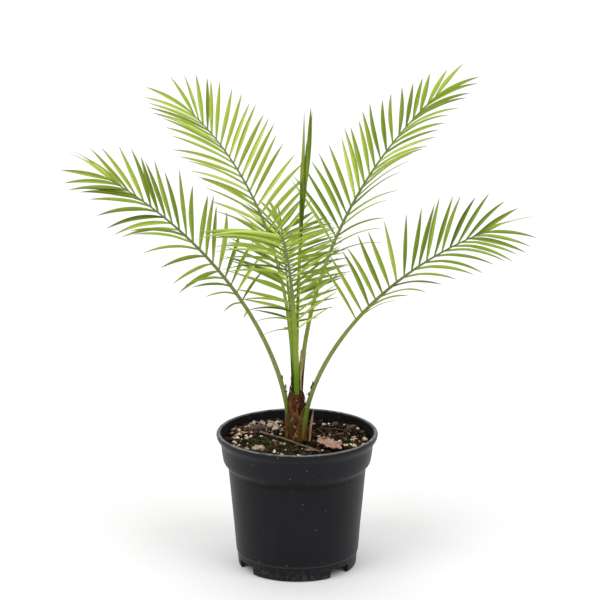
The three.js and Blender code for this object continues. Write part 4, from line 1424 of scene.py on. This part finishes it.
# angle, height, lean of the scrap, its length and half width
SCRAPS = (
    (-85, 152.5, 0.03, 5.0, 1.2), (-101, 133, -0.02, 3.4, 1.3), (-98, 124.5, 0.02, 4.2, 1.2),
    (-88, 158.5, 0.02, 3, 0.6), (-120, 139, 0.02, 5, 0.7), (60, 150, 0.01, 5, 1.1),
    (150, 139, -0.02, 6, 1.2), (20, 143, 0.02, 5, 0.9),
)
TONGUES = 15
scraps, tongues = Heap(), Heap()
for angle, z0, slope, reach, half in SCRAPS:
    path = strand_points(radians(angle), z0, slope, reach, 1.35, 0.3, 8)
    strip(scraps, path, half, 0.2, from_axis(path[0]), 0.5, (0.5, 0.35))
for k in range(TONGUES):
    a = tau * (k + between(-0.3, 0.3)) / TONGUES
    z0 = between(157, 161)
    z1 = z0 + between(5, 14)
    out, foot = polar(1, a, 0), on_trunk(a, z0, 0.2)
    head = vec(TRUNK_LEAN, 0, z1) + out * between(5.2, 6.6)
    path = curve_points([foot, mix(foot, head, 0.5) + out * 0.3, head], 12)
    strip(tongues, path, between(0.5, 1.3), 0.2, out, 0.4)
piece("sheath_scraps", scraps, PINKISH_SCRAP)
piece("sheath_tongues", tongues, BROWN_PAPER)

# %% [markdown]
# Up the stalks runs a brown edge on each side, the torn rim of the sheath that once joined them. On the
# middle stalks it is a thread of fibres; on the low ones it has broken into dark tufts on the side that
# faces the trunk. One tan scrap of the sheath still stands between two of the middle stalks.

# %% Torn sheath rims
TUFTS = {"frond_left_low": (0.034, 0.053, 0.088), "frond_right_low": (0.063, 0.092, 0.107)}
rims, hairs, scrap, edge = Heap(), Heap(), Heap(), Heap()


def tuft(f, line, spot):
    for k in range(9):
        u = spot + between(-0.007, 0.007)
        at, t, s, n = frame_at(f, line, u)
        lean = unit(n + s * chance.normal(0, 0.5))
        root = at + lean * rib_radius(f, u) * 0.82
        reach = between(1.6, 3.6)
        ahead = unit(t + lean * between(0.1, 1.0))
        if k < 6:
            path = [root, root + ahead * reach * 0.5 + lean * 0.2, root + ahead * reach]
            thread(rims, path, between(0.25, 0.55), 5, 0.3)
        else:
            thread(hairs, [root, root + lean * reach * 0.8, root + (lean + t) * reach], 0.12, 4, 0.4)


def stalk_edge(f, line, side, strand):
    top = between(0.05, 0.12)
    points = []
    for v in shares(12):
        at, t, s, n = frame_at(f, line, top * v)
        r = rib_radius(f, top * v) * mix(0.98, 1.08, v)
        points.append(at + s * side * r + n * (0.45 * (strand - 1.5)) - t * (5.0 * (1 - v)))
    thread(rims, points, mix(0.34, 0.2, strand / 3), 5, 0.35)


for f, line, kept in crown:
    if f.name in TUFTS:
        for spot in TUFTS[f.name]:
            tuft(f, line, spot)
    else:
        for side in (-1, 1):
            for strand in range(4):
                stalk_edge(f, line, side, strand)
for k in range(4):  # a dark fringe left of the middle stalks
    x, top = between(-6.2, -5.5), between(178, 200)
    points = []
    for i, u in enumerate(shares(10)):
        points.append(vec(x + 0.35 * sin(2.1 * i + k) + 0.05 * i, -1.8 + 0.3 * k, mix(159, top, u)))
    thread(rims, points, between(0.2, 0.38), 5, 0.4)
HAIR = grain_finish("red_hair", (0.2, 0.07, 0.035), (0.42, 0.2, 0.12), 0.8)
TAN_PAPER = paper_finish("tan_sheath", (0.26, 0.16, 0.055), (0.62, 0.5, 0.22))
RUSTY = grain_finish("rusty_edge", (0.05, 0.018, 0.007), (0.16, 0.065, 0.025), 0.85)
path = curve_points([(2.7, -5.2, 168), (2.9, -4.9, 186), (3.7, -4.4, 207)], 30)
strip(scrap, path, 1.5, 0.25, vec(0.2, -1, 0), 0.3, (1.0, 0.3), 0.1)
thread(edge, [p + vec(-1.2 + 0.03 * k, -0.25, 0) for k, p in enumerate(path)], 0.32, 5, 0.5)
piece("sheath_rims", rims, DARK)
piece("sheath_hairs", hairs, HAIR)
piece("standing_scrap", scrap, TAN_PAPER)
piece("scrap_edge", edge, RUSTY)

# %% [markdown]
# ## Loose bits
# A pale strip of dried sheath stands against the stem on its right, and a twig, a curled brown flake and a
# few chips of bark lie on the mix. Each takes the place of its plain solid.

# %% Dried strip
REST = 120.8  # where loose bits lie
DRIED = paper_finish("dried_paper", (0.2, 0.11, 0.06), (0.56, 0.38, 0.25))
heap = Heap()
path = curve_points([(11.6, -7.2, REST - 1.2), (12.7, -6.5, 134), (15.2, -5, 150)], 40)
strip(heap, path, 1.3, 0.35, vec(0.45, -1, 0), 0.35, (0.85, 0.45), 0.35)
piece("dried_strip", heap, DRIED, ("dry_sheath",))


# %% Twigs
TWIG_ROWS = 28


def streaked_finish(name, dark, pale, grain, rough, depth_mm, strength):
    f = Finish(name)
    streak = f.grain(*grain)
    return f.dress(f.coats(dark, (streak.rise(0.35, 0.7), pale)), rough, relief=(streak, depth_mm, strength))


def twig_heap(a, b, thick, knots):
    heap, rings, along = Heap(), [], shares(TWIG_ROWS)
    points = [mix(a, b, u) + vec(0, 1.2 * sin(5 * u) + 0.3 * sin(17 * u), 0.4 * sin(3 * u)) for u in along]
    for i, u in enumerate(along):
        ahead = ahead_at(points, i)
        across = unit(np.cross(ahead, vec(0, 0, 1)))
        r = thick * mix(1, 0.82, u) * (1 + 0.1 * sin(31 * u))
        for knot in knots:
            r *= 1 + 0.5 * exp(-(((u - knot) * 30) ** 2))
        rings.append(ellipse(points[i], across * r, np.cross(across, ahead) * r, 10))
    heap.rings(rings, along, 0.4)
    for knot in knots:
        root = points[int(knot * (len(points) - 1))]
        d = vec(chance.normal(0, 0.5), chance.choice((-1, 1)), 0.5)
        thread(heap, [root, root + unit(d) * 1.6], thick * 0.5, 5, 0.5)
    return heap


TWIG_GRAIN = (1.0, 3, 0.6, (0.3, 1, 1)), 0.8, 0.2, 0.8
TWIG = streaked_finish("twig_bark", (0.05, 0.03, 0.018), (0.27, 0.2, 0.14), *TWIG_GRAIN)
OLD_TWIG = streaked_finish("old_twig_bark", (0.022, 0.013, 0.008), (0.13, 0.08, 0.045), *TWIG_GRAIN)
heap = twig_heap(vec(-35, 15, REST + 1), vec(21, -43, REST + 1), 0.9, (0.12, 0.37, 0.55, 0.8))
piece("fallen_twig", heap, TWIG, ("twig",))
piece("second_twig", twig_heap(on_mix(18, 30, 1.0), on_mix(51, 21, 0.9), 0.7, (0.3, 0.7)), OLD_TWIG)


# %% Flake and chips
FLAKE_ROWS, FLAKE_COLS = 26, 17


def flake_grid(x, y, long, wide, turn, z, curl, crinkle, raised):
    """A dry leaf scrap: a thin sheet with a folded middle, ragged rim and crinkles, one end raised."""
    grid = []
    for u in (2 * share - 1 for share in shares(FLAKE_ROWS)):
        row = []
        for v in (2 * share - 1 for share in shares(FLAKE_COLS)):
            w = wide * (1 - abs(u) ** 2.6) ** 0.5 + 0.3
            ragged = 1 + 0.7 * rumple(u * 1.9, v * 1.5, turn + 3)
            px, py = long * u * ragged, w * v * ragged
            folds = abs(rumple(px / 6.0, py / 4.0, turn)) + 0.2 * rumple(px / 2.5, py / 2.2, 4)
            h = curl * (v * v * 0.8 + u * u * 0.3) + crinkle * folds + raised * (1 - u) / 2
            row.append(turn_about_z(vec(px, py, h), radians(turn)) + vec(x, y, z))
        grid.append(row)
    return grid


def bark_chip(name, x, y, long, wide, tall, turn, finish, stands_for=()):
    heap, rings = Heap(), []
    for level, shrink in ((0, 0.82), (0.15, 0.98), (0.4, 1.0), (0.7, 0.97), (1, 0.8)):
        ring = []
        for t in angles(22):
            c, s = cos(t), sin(t)
            box = (abs(c) ** 3.5 + abs(s) ** 3.5) ** (-1 / 3.5)
            size = box * (1 + 0.2 * rumple(c * 2, s * 2, turn + level * 3)) * shrink
            bend = 0.12 * long * sin(turn + 1.3 * c) + 0.25 * rumple(c * 3, s * 3, turn)
            p = vec(long * c * size, wide * s * size, tall * (level - 0.2) + bend)
            ring.append(turn_about_z(p, radians(turn)) + vec(x, y, REST - 0.2))
        rings.append(ring)
    heap.rings(rings, 0.5, chance.random())
    piece(name, heap, finish, stands_for)


PINKISH_LEAF = paper_finish("pinkish_dry_leaf", (0.24, 0.115, 0.08), (0.68, 0.44, 0.33))
heap = Heap()
grid = flake_grid(29.5, -28, 13, 8.6, -48, REST + 0.7, 1.8, 3.6, 3.2)
sheet(heap, grid, lambda p: vec(0, 0, 1), 0.32, [0.5] * (FLAKE_ROWS * FLAKE_COLS), chance.random())
piece("curled_flake", heap, PINKISH_LEAF, ("dead_leaflet",))
CHIP_GRAIN = (1.6, 4, 0.6, (0.35, 1, 1.6)), 0.85, 0.35, 0.9
RED_BARK = streaked_finish("red_bark", (0.035, 0.014, 0.009), (0.17, 0.075, 0.045), *CHIP_GRAIN)
PALE_BARK = streaked_finish("pale_bark", (0.2, 0.14, 0.085), (0.58, 0.46, 0.31), *CHIP_GRAIN)
PINK_BARK = streaked_finish("pinkish_bark", (0.1, 0.055, 0.04), (0.36, 0.23, 0.17), *CHIP_GRAIN)
CLOD = streaked_finish("brown_clod", (0.03, 0.017, 0.012), (0.16, 0.1, 0.072), *CHIP_GRAIN)
bark_chip("bark_piece_1", 36, 44, 4.5, 3.0, 1.8, 80, RED_BARK, ("bark_chip_1",))
bark_chip("bark_piece_2", 51, 34, 5.0, 3.0, 2.4, 30, RED_BARK, ("bark_chip_2",))
bark_chip("bark_piece_3", -36, -31, 6.0, 3.4, 2.8, 12, PALE_BARK, ("bark_chip_3",))
bark_chip("bark_piece_4", 40, 12, 4.0, 2.0, 1.5, 30, RED_BARK)
bark_chip("bark_piece_5", 11, -38, 5.5, 1.9, 1.6, -18, PINK_BARK)
bark_chip("bark_clod", -38, 26, 7.0, 5.0, 4.0, 20, CLOD)

# %% [markdown]
# ## Stage
# A wide white floor and an even white surround give the plain studio look. Two soft suns in front, one on
# each side, shade the leaves a little and leave a faint shadow to the left and right. A third, high and
# behind, lights the tops. Suns are used because their light doesn't fall off, so the floor stays evenly
# white as far as the camera sees.

# %% Camera
scene = bpy.context.scene
camera = in_scene("camera", bpy.data.cameras.new("camera"))
camera.data.lens, camera.data.sensor_width, camera.data.clip_end = 121.56, 36, 200
camera.location = (0.0026, -1.8, 0.694)
camera.rotation_euler = (radians(90 - 13.77), 0, 0)
scene.camera = camera
scene.view_settings.view_transform = "Standard"

# %% Floor
FLOOR_MM = 30000
f = Finish("studio_floor")
white = f.coats((0.925, 0.925, 0.925), (f.grain(400, 2), (0.95, 0.95, 0.95)))
rim = ellipse(vec(0, 0, 0), vec(FLOOR_MM, 0, 0), vec(0, FLOOR_MM, 0), 96)
floor = in_scene("floor", mesh_of("floor", rim, [tuple(range(96))]))
floor.data.materials.append(f.dress(white, 0.9, 0.1))
floor.location = (0, 0, -0.0005)

# %% Lights
scene.world = bpy.data.worlds.new("surround")
scene.world.use_nodes = True
sky = scene.world.node_tree.nodes["Background"].inputs
sky["Color"].default_value, sky["Strength"].default_value = (1, 1, 1, 1), 0.66


def soft_sun(name, strength, wide, azimuth, elevation):
    lamp = bpy.data.lights.new(name, "SUN")
    lamp.energy, lamp.angle = strength, radians(wide)
    towards = Vector(heading_of(radians(elevation), radians(azimuth)))
    in_scene(name, lamp).rotation_euler = towards.to_track_quat("Z", "Y").to_euler()


soft_sun("sun_left", 0.92, 35, -140, 45)
soft_sun("sun_right", 0.78, 35, -38, 43)
soft_sun("sun_top", 0.5, 50, 100, 70)
